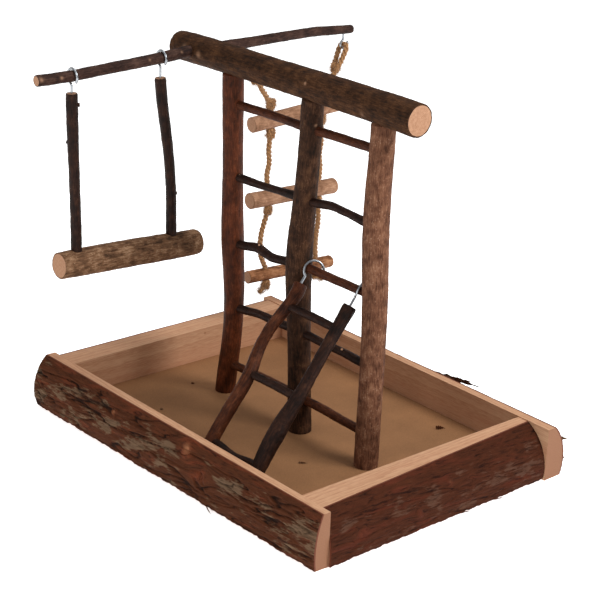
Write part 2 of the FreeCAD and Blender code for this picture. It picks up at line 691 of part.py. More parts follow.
# Each stile: its girths at the foot, the three rungs and the top, (share of its length, aside, away,
# girth) at its two knees, the way that its hook is turned about it and the way to the other stile.
STILES = {
    "left": {"girths": (1.0, 0.95, 0.92, 0.88, 0.98), "hook_turn": -1, "inward": 1,
             "knees": ((0.34, 0.05, 0.0, 0.95), (0.58, -0.6, 0.1, 0.86))},
    "right": {"girths": (1.0, 1.04, 0.94, 0.88, 0.98), "hook_turn": 1, "inward": -1,
              "knees": ((0.4, -0.2, 0.0, 1.1), (0.66, 0.1, -0.1, 0.84))},
}
# Each ladder rung, lowest first: (rise, away, girth) at the middle of its length.
LADDER_RUNG_BENDS = ((-0.75, 0.1, 1.0), (0.1, 0.2, 1.0), (0.15, 0.0, 1.08))


def ladder_stance():
    """The ladder's lean in degrees and the length of its stiles, from its feet to the rung it hangs on.

    Its feet stand on the floor panel against the front slab, and its hooks' rings touch the rung
    from above and behind, so the lean is found in a few rounds.
    """
    cross = size("rung_radius") + size("hook_wire_radius") + size("hook_gap")
    ring_reach = (size("ladder_hook_radius") - size("ladder_hook_aside")) * TURN_SHARE
    behind = cross - ring_reach
    stile = size("stile_radius")
    gap = size("ladder_foot_gap")
    run = size("frame_row") + REAR_INNER - gap
    rise = value_of(rung_height(HOOKED_BAY, HOOKED_RUNG, 0)) - size("floor_thickness") - gap
    lean = math.atan2(run, rise)
    rounds = 30
    for _ in range(rounds):
        lean = math.atan2(run - (stile + behind) * math.cos(lean), rise - (stile - behind) * math.sin(lean))
    upward = (rise - (stile - behind) * math.sin(lean)) / math.cos(lean)
    return math.degrees(lean), upward - size("ladder_hook_reach")


TURN_SHARE = math.cos(math.radians(LADDER_HOOK_TURN))
LADDER_LEAN, STILE_LENGTH = ladder_stance()
LADDER_TURN = Rotation(Vector(1, 0, 0), -LADDER_LEAN)
HOOK_SIDE = (size("ladder_hook_radius") - size("ladder_hook_aside")) * math.sin(
    math.radians(LADDER_HOOK_TURN)) + size("hook_wire_radius")


def post_face(post, side):
    """The X of a post's surface beside the rung that the ladder hangs on: side -1 or +1."""
    girth = POSTS[post]["girths"][HOOKED_RUNG + 1]
    return value_of(f"{post_spot(post, HOOKED_RUNG + 1)} + Sizes.{post}_radius * {side * girth}")


LEFT_STILE = post_face("middle_post", 1) + size("ladder_left_clearance") + HOOK_SIDE
RIGHT_STILE = post_face("right_post", -1) - size("ladder_right_clearance") - HOOK_SIDE


def ladder_point(across, along):
    """A point of the ladder in the row frame: across from the left stile and up along it."""
    lean = math.radians(LADDER_LEAN)
    foot = Vector(LEFT_STILE, -REAR_INNER + size("stile_radius") * math.cos(lean) + size("ladder_foot_gap"),
                  size("floor_thickness") + size("stile_radius") * math.sin(lean) + size("ladder_foot_gap"))
    return foot + LADDER_TURN.multVec(Vector(across, 0, along))


def ladder_rung_at(number):
    """How far up the stiles a ladder rung is, as an expression."""
    span = f"({STILE_LENGTH} - Sizes.ladder_first_rung - Sizes.ladder_last_rung)"
    return f"Sizes.ladder_first_rung + {span} * {number / (LADDER_RUNGS - 1)}"


def make_stile(side, across):
    """One stile with its sockets, and its hook over a rung of the frame."""
    radius = "Sizes.stile_radius"
    shape = STILES[side]
    heights = ["0", *[ladder_rung_at(number) for number in range(LADDER_RUNGS)], f"{STILE_LENGTH}"]
    stations = [(height, 0, 0, girth) for height, girth in zip(heights, shape["girths"])]
    stations += [(f"{STILE_LENGTH} * {share}", aside, away, girth)
                 for share, aside, away, girth in shape["knees"]]
    stations.sort(key=lambda station: value_of(station[0]))
    body = branch(f"ladder_stile_{side}", radius, stations)
    drill(body, f"stile_{side}_hook_hole", "z",
          ("0", "0", f"{STILE_LENGTH} - Sizes.hook_thread - Sizes.glue_gap"), 1,
          "Sizes.hook_wire_radius + Sizes.glue_gap", "2 * Sizes.hook_thread")
    way = shape["inward"]
    for number in range(LADDER_RUNGS):
        inner = f"{way} * ({radius} - Sizes.ladder_rung_depth - Sizes.glue_gap)"
        drill(body, f"stile_{side}_socket_{number + 1}", "x", (inner, "0", ladder_rung_at(number)), way,
              "Sizes.ladder_rung_radius + Sizes.socket_gap", f"3 * {radius}")
    keep(f"ladder_stile_{side}", body, Placement(ladder_point(across, 0), LADDER_TURN))
    turn = LADDER_TURN.multiply(Rotation(UP, 90 + shape["hook_turn"] * LADDER_HOOK_TURN))
    cup_hook(f"ladder_hook_{side}", size("ladder_hook_radius"), size("ladder_hook_aside"),
             size("ladder_hook_reach"), size("hook_thread"), LADDER_TIP_ANGLE,
             Placement(ladder_point(across, STILE_LENGTH), turn))


def make_ladder():
    """Two stiles, their hooks and three rungs in their sockets."""
    spacing = RIGHT_STILE - LEFT_STILE
    make_stile("left", 0)
    make_stile("right", spacing)
    inset = size("stile_radius") - size("ladder_rung_depth")
    length = spacing - 2 * inset
    for number, (rise, away, girth) in enumerate(LADDER_RUNG_BENDS):
        label = f"ladder_rung_{number + 1}"
        body = branch(label, "Sizes.ladder_rung_radius", [
            ("0", 0, 0, 1), (f"{length} * 0.12", 0, 0, 1), (f"{length} * 0.5", -rise, away, girth),
            (f"{length} * 0.88", 0, 0, 1), (f"{length}", 0, 0, 1)], straight=True)
        start = ladder_point(inset, value_of(ladder_rung_at(number)))
        keep(label, body, Placement(start, LADDER_TURN.multiply(ALONG["x"])))


# ---------------------------------------------------------------- rope ladder

# The height of the middle of the wire at the bottom of each rope hook, where the loops hang.
ROPE_SEAT = "Sizes.beam_height - Sizes.rope_hook_drop"

# The ropes' routes, measured from the arm along X, from the rope's hole in the perches along Y and
# from the seat in the hooks along Z. An upper route starts at its loose end, the others just under a
# knot, and each ends in the knot below.
ROPES = {
    ("upper", "inner"): ((-2.6, -20.0, -16.7), (-4.6, -26.7, -6.8), (-5.25, -34.0, 4.0),
                         (5.25, -34.0, 4.0), (4.6, -26.7, -6.8), (2.6, -20.0, -16.7),
                         (0.0, -13.2, -26.6), (0.0, -0.6, -43.5), (0.0, 0.1, -58.5),
                         (0.0, 0.0, -72.5)),
    ("upper", "outer"): ((-2.6, 15.6, -18.2), (-4.6, 20.6, -7.4), (-5.25, 25.5, 4.0),
                         (5.25, 25.5, 4.0), (4.6, 20.6, -7.4), (2.6, 15.6, -18.2),
                         (0.0, 10.4, -28.4), (0.0, 0.6, -42.2), (0.0, -0.1, -56.5),
                         (0.0, 0.0, -68.6)),
    ("middle", "inner"): ((0.0, -0.2, -77.8), (-0.7, -1.5, -89.5), (0.5, 0.1, -102.0),
                          (-0.3, -3.2, -115.5), (0.0, -0.1, -129.5), (0.1, 0.1, -141.0),
                          (0.0, 0.0, -151.0)),
    ("middle", "outer"): ((0.0, -0.1, -73.9), (0.7, 1.0, -88.5), (-0.4, -0.8, -104.0),
                          (0.4, 1.2, -119.0), (0.0, 0.0, -132.0), (-0.1, -0.2, -143.0),
                          (0.0, 0.0, -152.6)),
    ("lower", "inner"): ((0.0, -1.2, -156.2), (-0.6, -6.0, -169.5), (0.4, -9.2, -183.5),
                         (-0.2, -7.6, -197.5), (0.0, -0.6, -211.0), (0.1, 0.1, -220.5),
                         (0.0, 0.0, -229.3)),
    ("lower", "outer"): ((0.0, 0.3, -157.9), (0.6, 1.8, -172.5), (-0.5, 0.3, -187.0),
                         (0.2, -1.4, -200.5), (0.0, 0.1, -212.5), (0.1, -0.1, -223.0),
                         (0.0, 0.0, -232.2)),
}
ARC_SHARE = 0.45
LOOSE_END, BESIDE_LOOSE_END, ABOVE_PERCH, LAST = 0, 5, 7, -1
SIDES = ("inner", "outer")


def rope_point(stretch, side, number):
    """One point of a rope's route in the row frame."""
    origin = Vector(size("arm_place"), size(f"rope_{side}_place"), value_of(ROPE_SEAT))
    return origin + Vector(*ROPES[stretch, side][number])


def rope_route(corners):
    """Straight runs joined by tangent arcs, each as large as its two runs allow, and the arcs' radii."""
    edges = []
    radii = []
    last = corners[0]
    for before, corner, after in zip(corners, corners[1:], corners[2:]):
        back = (before - corner).normalize()
        onward = (after - corner).normalize()
        turn = math.pi - back.getAngle(onward)
        trim = ARC_SHARE * min((before - corner).Length, (after - corner).Length)
        radius = trim / math.tan(turn / 2)
        inside = (back + onward).normalize()
        center = corner + inside * (radius / math.cos(turn / 2))
        start = corner + back * trim
        edges.append(Part.LineSegment(last, start).toShape())
        last = corner + onward * trim
        edges.append(Part.Arc(start, center - inside * radius, last).toShape())
        radii.append(radius)
    edges.append(Part.LineSegment(last, corners[-1]).toShape())
    return Part.Wire(edges), radii


def make_rope(stretch, side):
    """A plain tube along one rope's route, checked against its section times its length."""
    corners = [rope_point(stretch, side, number) for number in range(len(ROPES[stretch, side]))]
    route, radii = rope_route(corners)
    radius = size("rope_radius")
    heading = (corners[1] - corners[0]).normalize()
    section = Part.Wire(Part.Circle(corners[0], heading, radius).toShape())
    label = f"rope_{stretch}_{side}"
    tube = doc.addObject("Part::Feature", label)
    tube.Shape = route.makePipeShell([section], True, False)
    expected = math.pi * radius ** 2 * route.Length
    if abs(tube.Shape.Volume - expected) > 0.01 * expected:
        raise ValueError(f"{label}: the tube's volume does not match its length")
    print(label, "length", round(route.Length, 1), "radii", [round(each, 1) for each in radii])
    keep(label, tube)


def knots(label, spots):
    """Round knots at the given points of the ropes, each with its share of the knot radius."""
    balls = []
    for number, (spot, share) in enumerate(spots):
        ball = doc.addObject("Part::Sphere", f"{label}_{number}")
        ball.setExpression("Radius", f"Sizes.knot_radius * {share}")
        ball.Placement = Placement(spot, Rotation())
        balls.append(ball)
    group(label, balls)


def make_perch(number, stretch, radius, girths):
    """A perch that rests on the two knots at the end of a stretch, with a hole for each rope."""
    start = "(Sizes.rope_inner_place - Sizes.perch_inner_end)"
    length = f"(Sizes.rope_outer_place + Sizes.perch_outer_end - {start})"
    inner, outer = [rope_point(stretch, side, LAST).z for side in SIDES]
    slope = (outer - inner) / (size("rope_outer_place") - size("rope_inner_place"))
    label = f"rope_perch_{number}"
    body = branch(label, radius, [(f"{length} * {share}", 0, f"{-slope} * {length} * {share}", girth)
                                  for share, girth in zip((0, 0.5, 1), girths)])
    for side in SIDES:
        drill(body, f"{label}_{side}_hole", "y",
              ("0", f"-4 * {radius}", f"Sizes.rope_{side}_place - {start}"), 1,
              "Sizes.rope_radius + Sizes.rope_hole_gap", f"8 * {radius}")
    low_end = inner + value_of(f"{radius} + Sizes.knot_seat - Sizes.perch_inner_end * {slope}")
    keep(label, body, place_at(size("arm_place"), value_of(start), low_end, ALONG["y"]))


def make_rope_ladder():
    """Perches, ropes and knots."""
    make_perch(1, "upper", "Sizes.perch_radius", (0.98, 1.0, 1.03))
    make_perch(2, "middle", "Sizes.perch_radius", (1.03, 1.0, 1.02))
    make_perch(3, "lower", "Sizes.slim_perch_radius", (1.02, 0.97, 1.0))
    for stretch, side in ROPES:
        make_rope(stretch, side)
    knots("loop_knots", [((rope_point("upper", side, LOOSE_END)
                           + rope_point("upper", side, BESIDE_LOOSE_END)) * 0.5, 1.05) for side in SIDES])
    knots("perch_1_knots", [(rope_point("upper", side, ABOVE_PERCH), 1.1) for side in SIDES]
          + [(rope_point("upper", side, LAST), 1.0) for side in SIDES])
    knots("perch_2_knots", [(rope_point("middle", side, LAST), 1.0) for side in SIDES])
    knots("perch_3_knots", [(rope_point("lower", side, LAST), 1.0) for side in SIDES])


# ---------------------------------------------------------------- build, check and write

def check_document():
    """Stops if a feature failed, a hole cut nothing or a piece is not a valid solid."""
    for item in doc.Objects:
        if "Invalid" in item.State or "Error" in item.State:
            raise ValueError(f"{item.Label}: {item.State}")
    for pocket in POCKETS:
        if pocket.Shape.Volume >= pocket.BaseFeature.Shape.Volume - 1e-3:
            raise ValueError(f"{pocket.Label} cuts nothing")
    for label, piece in NODES.items():
        if piece.Shape.isNull() or not piece.Shape.isValid() or not piece.Shape.Solids:
            raise ValueError(f"{label} is not a valid solid")


make_frame()
make_tray()
make_arm()
make_swing()
make_ladder()
make_rope_ladder()
doc.recompute()
check_document()
os.makedirs("parts", exist_ok=True)
for label, piece in NODES.items():
    piece.Shape.exportStep(f"parts/{label}.step")
print(len(NODES), "pieces written")
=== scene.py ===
"""Looks of a play stand for small parrots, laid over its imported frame.

The stand is a tray of half-round bark slabs with a frame of branches, a swing, a lean-to ladder and
a rope ladder. Branches are grown along the middle lines of the frame's nodes, slabs are cut over
their nodes with real bark relief, and the ropes are laid from three strands. Lengths are in metres,
and the sizes typed here are in millimetres.
"""
import json
import math
from functools import partial

import bmesh
import bpy
import numpy as np
from bpy.props import FloatProperty, FloatVectorProperty, IntProperty, PointerProperty
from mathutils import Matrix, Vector
from mathutils.bvhtree import BVHTree


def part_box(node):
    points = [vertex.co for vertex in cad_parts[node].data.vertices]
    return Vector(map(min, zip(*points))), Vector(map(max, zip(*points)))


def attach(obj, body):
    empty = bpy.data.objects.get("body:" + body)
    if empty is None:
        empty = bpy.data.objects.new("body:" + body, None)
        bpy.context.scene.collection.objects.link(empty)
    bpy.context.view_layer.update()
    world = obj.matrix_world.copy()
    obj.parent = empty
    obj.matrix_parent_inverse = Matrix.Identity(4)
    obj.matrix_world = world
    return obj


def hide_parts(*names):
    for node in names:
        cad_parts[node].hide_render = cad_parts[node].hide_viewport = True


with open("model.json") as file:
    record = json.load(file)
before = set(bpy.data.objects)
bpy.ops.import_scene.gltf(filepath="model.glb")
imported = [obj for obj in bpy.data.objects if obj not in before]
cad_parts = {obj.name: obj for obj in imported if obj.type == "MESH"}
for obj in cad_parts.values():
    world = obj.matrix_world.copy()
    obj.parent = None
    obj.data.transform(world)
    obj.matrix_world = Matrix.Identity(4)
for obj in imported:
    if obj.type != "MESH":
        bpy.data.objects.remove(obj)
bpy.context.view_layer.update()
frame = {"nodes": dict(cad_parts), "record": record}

bl_info = {
    "name": "Parrot Play Stand",
    "version": (1, 0, 0),
    "blender": (4, 5, 0),
    "location": "3D View > Sidebar > Play Stand",
    "description": "Grows the bark, branches, rope and steel of a parrot play stand over its frame",
    "category": "Add Mesh",
}

BODY_OF = {node: body for body, nodes in frame["record"]["behaviour"]["bodies"].items() for node in nodes}
MM = 0.001
TAU = 2 * math.pi
# Kinds of node, without the prefixes. Those that reckon often come as a pair with their operation.
PREFIXES = "ShaderNode", "GeometryNode", "FunctionNode", ""
MATH, VECTOR, MIX, RANGE = "Math", "VectorMath", "Mix", "MapRange"
PLUS, MINUS, TIMES, OVER = (MATH, "ADD"), (MATH, "SUBTRACT"), (MATH, "MULTIPLY"), (MATH, "DIVIDE")
TIMES_PLUS, RESIZED = (MATH, "MULTIPLY_ADD"), (VECTOR, "SCALE")
NOISE, CELLS, SCALED = "TexNoise", "TexVoronoi", "Mapping"
NAMED, STORE = "InputNamedAttribute", "StoreNamedAttribute"
CARRIED = "Attribute"


def linear(code):
    """A linear RGBA colour from an sRGB hex value."""
    parts = [int(code[place:place + 2], 16) / 255 for place in (1, 3, 5)]
    return [part / 12.92 if part <= 0.04045 else ((part + 0.055) / 1.055) ** 2.4 for part in parts] + [1.0]


def color(name, note, code):
    """A colour property with an sRGB hex default."""
    return FloatVectorProperty(name=name, description=note, subtype="COLOR", size=4, min=0, max=1,
                               default=linear(code))


def length(name, note, mm):
    """A length property with a default in millimetres."""
    return FloatProperty(name=name, description=note, unit="LENGTH", min=0, precision=5, default=mm * MM)


# ---------------------------------------------------------------- settings

class TrayLooks(bpy.types.PropertyGroup):
    """Bark slabs and floor panel of the tray"""
    grid: length("Slab mesh step", "Distance between the points of a slab's bark", 0.85)
    relief: length("Bark relief", "Depth from a bark plate down to the fissures", 1.5)
    rim: length("Inner bark", "Thickness of the bark at a slab's sawn faces", 1.6)
    grey: color("Weathered plate", "Outer bark that has gone grey", "#644d3a")
    brown: color("Brown bark", "Bark on the flanks of the plates", "#4b2816")
    red: color("Inner bark", "Red bark where plates have come off", "#63301c")
    # The fissure colour is partly the dark bark in the fissures and partly painted shade there.
    fissure_and_shade: color("Fissure", "Bottom of the fissures", "#150b07")
    sawn: color("Sawn pine", "Early wood on the sawn faces", "#c69a78")
    late: color("Late wood", "Late wood lines on the sawn faces", "#a06a49")
    board: color("Fibreboard", "Face of the floor panel", "#8d6442")


class BranchLooks(bpy.types.PropertyGroup):
    """Branches of the frame, swing, ladder and perches"""
    step: length("Branch mesh step", "Distance between the rings of points along a branch", 0.9)
    relief: length("Bark relief", "Height of the ridges on a branch's thin bark", 0.45)
    sides: IntProperty(name="Sides", description="Points round a branch for each centimetre of its radius",
                       default=64, min=8)
    wood: color("End grain", "Wood at the branches' cut ends", "#b98f72")
    ring: color("Growth rings", "Rings and pith at the cut ends", "#8e6347")


class RopeLooks(bpy.types.PropertyGroup):
    """Jute rope of the rope ladder"""
    lay: length("Lay length", "Length in which a strand turns once round the rope", 13)
    strand: length("Strand radius", "Radius of each of the three strands", 1.4)
    fibre: length("Stray fibre", "Length of the longest stray fibre", 6)
    fibres: IntProperty(name="Stray fibres", description="Stray fibres on each square centimetre of rope",
                        default=36, min=0)
    # Jute and jute shade are a lit and a shaded copy of one colour, mixed into painted light and shade.
    jute: color("Jute", "Lit jute fibres", "#c99661")
    shade: color("Jute shade", "Jute between the yarns", "#7a5232")


# ---------------------------------------------------------------- nodes

def add(tree, kind, *values, inputs=None, out=0, stops=(), **named):
    """Adds a node with its settings and gives its output, or the node itself where out is None.

    Kind is the node's type without its prefix, or a pair of it and its operation. Values go to the
    node's inputs in order, None skipping one, those in inputs by number, and those with a capital
    letter by name. Each is a value or an output to link. The other names are the node's settings,
    and stops the places and colours of a colour ramp.
    """
    kind, *operation = kind if isinstance(kind, tuple) else (kind,)
    item = tree.nodes.new(next(start + kind for start in PREFIXES if hasattr(bpy.types, start + kind)))
    for name, value in [*zip(("operation",), operation), *named.items()]:
        if name.islower():
            setattr(item, name, value)
    for number, (place, shade) in enumerate(stops):
        stop = item.color_ramp.elements[number] if number < 2 else item.color_ramp.elements.new(place)
        stop.position, stop.color = place, shade
    by_name = [(name.replace("_", " "), value) for name, value in named.items() if not name.islower()]
    for place, value in [*enumerate(values), *(inputs or {}).items(), *by_name]:
        if isinstance(value, bpy.types.NodeSocket):
            tree.links.new(value, item.inputs[place])
        elif value is not None:
            item.inputs[place].default_value = value
    return item if out is None else item.outputs[out]


def coated(new, base, *coats):
    """A base colour with coats over it, each given as how much of it shows and its colour."""
    for share, shade in coats:
        base = new(MIX, share, inputs={6: base, 7: shade}, out=2, data_type="RGBA")
    return base


def new_tree(name, inputs, output="NodeSocketGeometry"):
    """A node tree with named inputs, given as (name, socket kind, default), and one result.

    Gives the tree, add for this tree, and its inputs.
    """
    tree = bpy.data.node_groups.new(name, "GeometryNodeTree")
    for label, kind, default in inputs:
        item = tree.interface.new_socket(name=label, in_out="INPUT", socket_type="NodeSocket" + kind)
        if default is not None:
            item.default_value = default
    tree.interface.new_socket(name="Result", in_out="OUTPUT", socket_type=output)
    return tree, partial(add, tree), tree.nodes.new("NodeGroupInput").outputs


def close_tree(tree, geometry, material):
    """Ends a tree: instances made real, the material set, and the result given out."""
    whole = add(tree, "RealizeInstances", geometry)
    finished = add(tree, "SetMaterial", whole, Material=material)
    tree.links.new(finished, tree.nodes.new("NodeGroupOutput").inputs[0])
    return tree


def placed(name, data):
    """An object for a mesh or curve, linked to the scene."""
    piece = bpy.data.objects.new(name, data)
    bpy.context.scene.collection.objects.link(piece)
    return piece


def plain_mesh(holder):
    """The evaluated mesh of an object, which is then removed."""
    mesh = bpy.data.meshes.new_from_object(holder.evaluated_get(bpy.context.evaluated_depsgraph_get()))
    bpy.data.objects.remove(holder)
    return mesh


def baked(source, tree, settings, name):
    """Runs a tree on an object and turns the result into a plain mesh object."""
    modifier = source.modifiers.new("Growth", "NODES")
    modifier.node_group = tree
    for item in tree.interface.items_tree:
        if item.in_out == "INPUT" and item.name in settings:
            modifier[item.identifier] = settings[item.name]
    return placed(name, plain_mesh(source))


def carry(mesh, name, values, domain="POINT"):
    """Stores truth values, numbers or rows of three on a mesh."""
    rows = values.ndim > 1 and values.shape[-1] == 3
    kind = "BOOLEAN" if values.dtype == bool else "FLOAT_VECTOR" if rows else "FLOAT"
    values = values if kind == "BOOLEAN" else values.astype(np.float32).ravel()
    mesh.attributes.new(name, kind, domain).data.foreach_set("vector" if rows else "value", values)


def dress(piece, *nodes):
    """Lets a piece stand for frame nodes and ride on their body."""
    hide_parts(*nodes)
    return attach(piece, BODY_OF[nodes[0]])


def bark_height_tree():
    """Height of bark from -1 to 1 over skin coordinates: plates between fissures, and long ridges."""
    tree, new, given = new_tree("Bark height", [
        ("Skin", "Vector", None), ("Width", "Float", 0.004), ("Stretch", "Float", 4.0),
        ("Plates", "Float", 0.5), ("Seed", "Float", 0.0)], "NodeSocketFloat")
    share = new(OVER, 1.0, given["Width"])
    long_share = new(OVER, share, given["Stretch"])
    scale = new("CombineXYZ", share, share, long_share)
    shift = new("CombineXYZ", given["Seed"], given["Seed"])
    spot = new(VECTOR, given["Skin"], scale, shift, operation="MULTIPLY_ADD")
    drift = new(NOISE, spot, Scale=0.3, Detail=2.0, out=1)
    warped = new(VECTOR, drift, (2.6, 2.6, 2.6), spot, operation="MULTIPLY_ADD")
    split = new(NOISE, warped, Scale=0.42, Detail=2.5, Roughness=0.55)
    away = new(MATH, new(MINUS, split, 0.5), operation="ABSOLUTE")
    crack = new(RANGE, away, 0.0, 0.03, -1.0, 0.35, interpolation_type="SMOOTHSTEP")
    cells = new(CELLS, warped, Scale=0.5, feature="DISTANCE_TO_EDGE")
    edge = new(RANGE, cells, 0.0, 0.09, -0.35, 0.35, interpolation_type="SMOOTHSTEP")
    plate = new(MATH, crack, edge, operation="MINIMUM")
    noise = new(NOISE, warped, Scale=1.1, Detail=5.0, Roughness=0.62)
    ridge = new(TIMES_PLUS, noise, 2.8, -1.4)
    mixed = new(MIX, given["Plates"], None, ridge, plate)
    height = new(TIMES_PLUS, ridge, 0.3, mixed)
    tree.links.new(height, tree.nodes.new("NodeGroupOutput").inputs[0])
    return tree


def add_bark_height(new, geometry, skin, given):
    """Stores the bark's height on a geometry and gives both."""
    knobs = {label: given[label] for label in ("Width", "Stretch", "Plates", "Seed")}
    height = new("GeometryNodeGroup", Skin=skin, **knobs, node_tree=shared("Bark height", bark_height_tree))
    return new(STORE, geometry, Name="height", Value=height, data_type="FLOAT"), height


def branch_tree():
    """A branch grown along a path whose points carry their radius as girth."""
    tree, new, given = new_tree("Branch", [
        ("Geometry", "Geometry", None), ("Sides", "Int", 48), ("Relief", "Float", 0.0004),
        ("Width", "Float", 0.002), ("Stretch", "Float", 6.0), ("Plates", "Float", 0.0),
        ("Seed", "Float", 0.0), ("Finish", "Material", None)])
    girth = new(NAMED, "girth", data_type="FLOAT")
    along = new(NAMED, "along", data_type="FLOAT")
    turn = new(NAMED, "turn", data_type="FLOAT")
    core = new(NAMED, "core", data_type="FLOAT_VECTOR")
    place = new("InputPosition")
    reach = new("SplineParameter", out=None).outputs
    path = new("MeshToCurve", given["Geometry"])
    path = new(STORE, path, Name="core", Value=place, data_type="FLOAT_VECTOR")
    path = new(STORE, path, Name="along", Value=reach["Length"], data_type="FLOAT")
    ring = new("CurvePrimitiveCircle", given["Sides"], Radius=1.0)
    ring = new(STORE, ring, Name="turn", Value=reach["Factor"], data_type="FLOAT")
    skin = new("CurveToMesh", path, ring, Scale=girth, Fill_Caps=True)
    angle = new(TIMES, turn, TAU)
    across = [new(TIMES, new(MATH, angle, operation=wave), girth) for wave in ("COSINE", "SINE")]
    spot = new("CombineXYZ", *across, along)
    skin = new(STORE, skin, Name="skin", Value=spot, data_type="FLOAT_VECTOR")
    bend = new(MATH, new("InputMeshEdgeAngle"), 0.6, operation="GREATER_THAN")
    skin = new("SetShadeSmooth", skin, bend, Shade_Smooth=False, domain="EDGE")
    skin, height = add_bark_height(new, skin, spot, given)
    outward = new(VECTOR, new(VECTOR, place, core, operation="SUBTRACT"), operation="NORMALIZE")
    rise = new(TIMES, height, given["Relief"])
    rise = new(RESIZED, outward, Scale=rise)
    skin = new("SetPosition", skin, Offset=rise)
    return close_tree(tree, skin, given["Finish"])


def slab_tree():
    """Bark relief on a slab's mesh, which carries skin, out, cover and barked."""
    tree, new, given = new_tree("Bark slab", [
        ("Geometry", "Geometry", None), ("Relief", "Float", 0.0015), ("Width", "Float", 0.006),
        ("Stretch", "Float", 4.0), ("Plates", "Float", 0.6), ("Seed", "Float", 0.0),
        ("Bark", "Material", None), ("Wood", "Material", None)])
    skin = new(NAMED, "skin", data_type="FLOAT_VECTOR")
    out = new(NAMED, "out", data_type="FLOAT_VECTOR")
    cover = new(NAMED, "cover", data_type="FLOAT")
    slab, height = add_bark_height(new, given["Geometry"], skin, given)
    rise = new(TIMES, new(TIMES, height, cover), given["Relief"])
    slab = new("SetPosition", slab, Offset=new(RESIZED, out, Scale=rise))
    slab = new("SetMaterial", slab, Material=given["Wood"])
    slab = new("RealizeInstances", slab)
    slab = new("SetMaterial", slab, new(NAMED, "barked", data_type="BOOLEAN"), given["Bark"])
    tree.links.new(slab, tree.nodes.new("NodeGroupOutput").inputs[0])
    return tree


def rope_tree():
    """Three strands laid round a path."""
    tree, new, given = new_tree("Laid rope", [
        ("Geometry", "Geometry", None), ("Strand", "Float", 0.00135), ("Lay", "Float", 0.013),
        ("Step", "Float", 0.0006), ("Seed", "Float", 0.0), ("Finish", "Material", None)])
    reach = new("SplineParameter", out=None).outputs
    path = new("MeshToCurve", given["Geometry"])
    path = new("ResampleCurve", path, Length=given["Step"], mode="LENGTH")
    path = new(STORE, path, Name="along", Value=reach["Length"], data_type="FLOAT")
    twist = new(TIMES, new(OVER, reach["Length"], given["Lay"]), -TAU)
    path = new("SetCurveTilt", path, Tilt=twist)
    strand = new("CurvePrimitiveCircle", 14, Radius=given["Strand"])
    strand = new(STORE, strand, Name="turn", Value=reach["Factor"], data_type="FLOAT")
    spots = new("CurvePrimitiveCircle", 3, Radius=new(TIMES, given["Strand"], 0.95))
    three = new("InstanceOnPoints", spots, Instance=strand)
    three = new("RealizeInstances", three)
    rope = new("CurveToMesh", path, three, Scale=1.0, Fill_Caps=True)
    lumps = new(NOISE, new("InputPosition"), given["Seed"], Scale=260.0, Detail=3.0, noise_dimensions="4D")
    swell = new(TIMES_PLUS, lumps, 0.001, -0.0005)
    swell = new(RESIZED, new("InputNormal"), Scale=swell)
    rope = new("SetPosition", rope, Offset=swell)
    return close_tree(tree, rope, given["Finish"])


def fibre_tree():
    """Stray fibres that stand out of a rope's surface."""
    tree, new, given = new_tree("Stray fibres", [
        ("Geometry", "Geometry", None), ("Length", "Float", 0.005), ("Density", "Float", 150000.0),
        ("Seed", "Int", 0), ("Finish", "Material", None)])
    size, seed = given["Length"], {"Seed": given["Seed"]}
    spots = new("DistributePointsOnFaces", given["Geometry"], out=None, Density=given["Density"],
                **seed).outputs
    bow = [new(TIMES, size, share) for share in (0.35, 0.28, 0.25, 0.2)]
    middle = new("CombineXYZ", bow[0], None, bow[1])
    tip = new("CombineXYZ", size, bow[2], bow[3])
    hair = new("CurveQuadraticBezier", 4, (0, 0, 0), middle, tip)
    ring = new("CurvePrimitiveCircle", 3, Radius=0.00008)
    thread = new("CurveToMesh", hair, ring, Scale=1.0, Fill_Caps=True)
    spin = new("RandomValue", (-0.6, -0.6, 0.0), (0.6, 0.6, TAU), **seed, data_type="FLOAT_VECTOR")
    spin = new("RotateRotation", spots["Rotation"], new("EulerToRotation", spin), rotation_space="LOCAL")
    share = new("RandomValue", None, None, 0.25, 1.0, **seed, out=1, data_type="FLOAT")
    many = new("InstanceOnPoints", spots["Points"], Instance=thread, Rotation=spin, Scale=share)
    return close_tree(tree, many, given["Finish"])


# ---------------------------------------------------------------- finishes

def new_material(name, roughness, **values):
    """A material with its constant values set on the shader, add for its node tree, and the shader."""
    material = bpy.data.materials.new(name)
    material.use_nodes = True
    shader = material.node_tree.nodes["Principled BSDF"]
    shader.inputs["Roughness"].default_value = roughness
    for label, value in values.items():
        shader.inputs[label.replace("_", " ")].default_value = value
    return material, partial(add, material.node_tree), shader


def apply_finish(new, shader, base, height, strength, depth):
    """Links a base colour and a bump to the shader; depth is the bump's full height in millimetres."""
    shader.id_data.links.new(base, shader.inputs["Base Color"])
    bump = new("Bump", Height=height, Strength=strength, Distance=depth * MM)
    shader.id_data.links.new(bump, shader.inputs["Normal"])


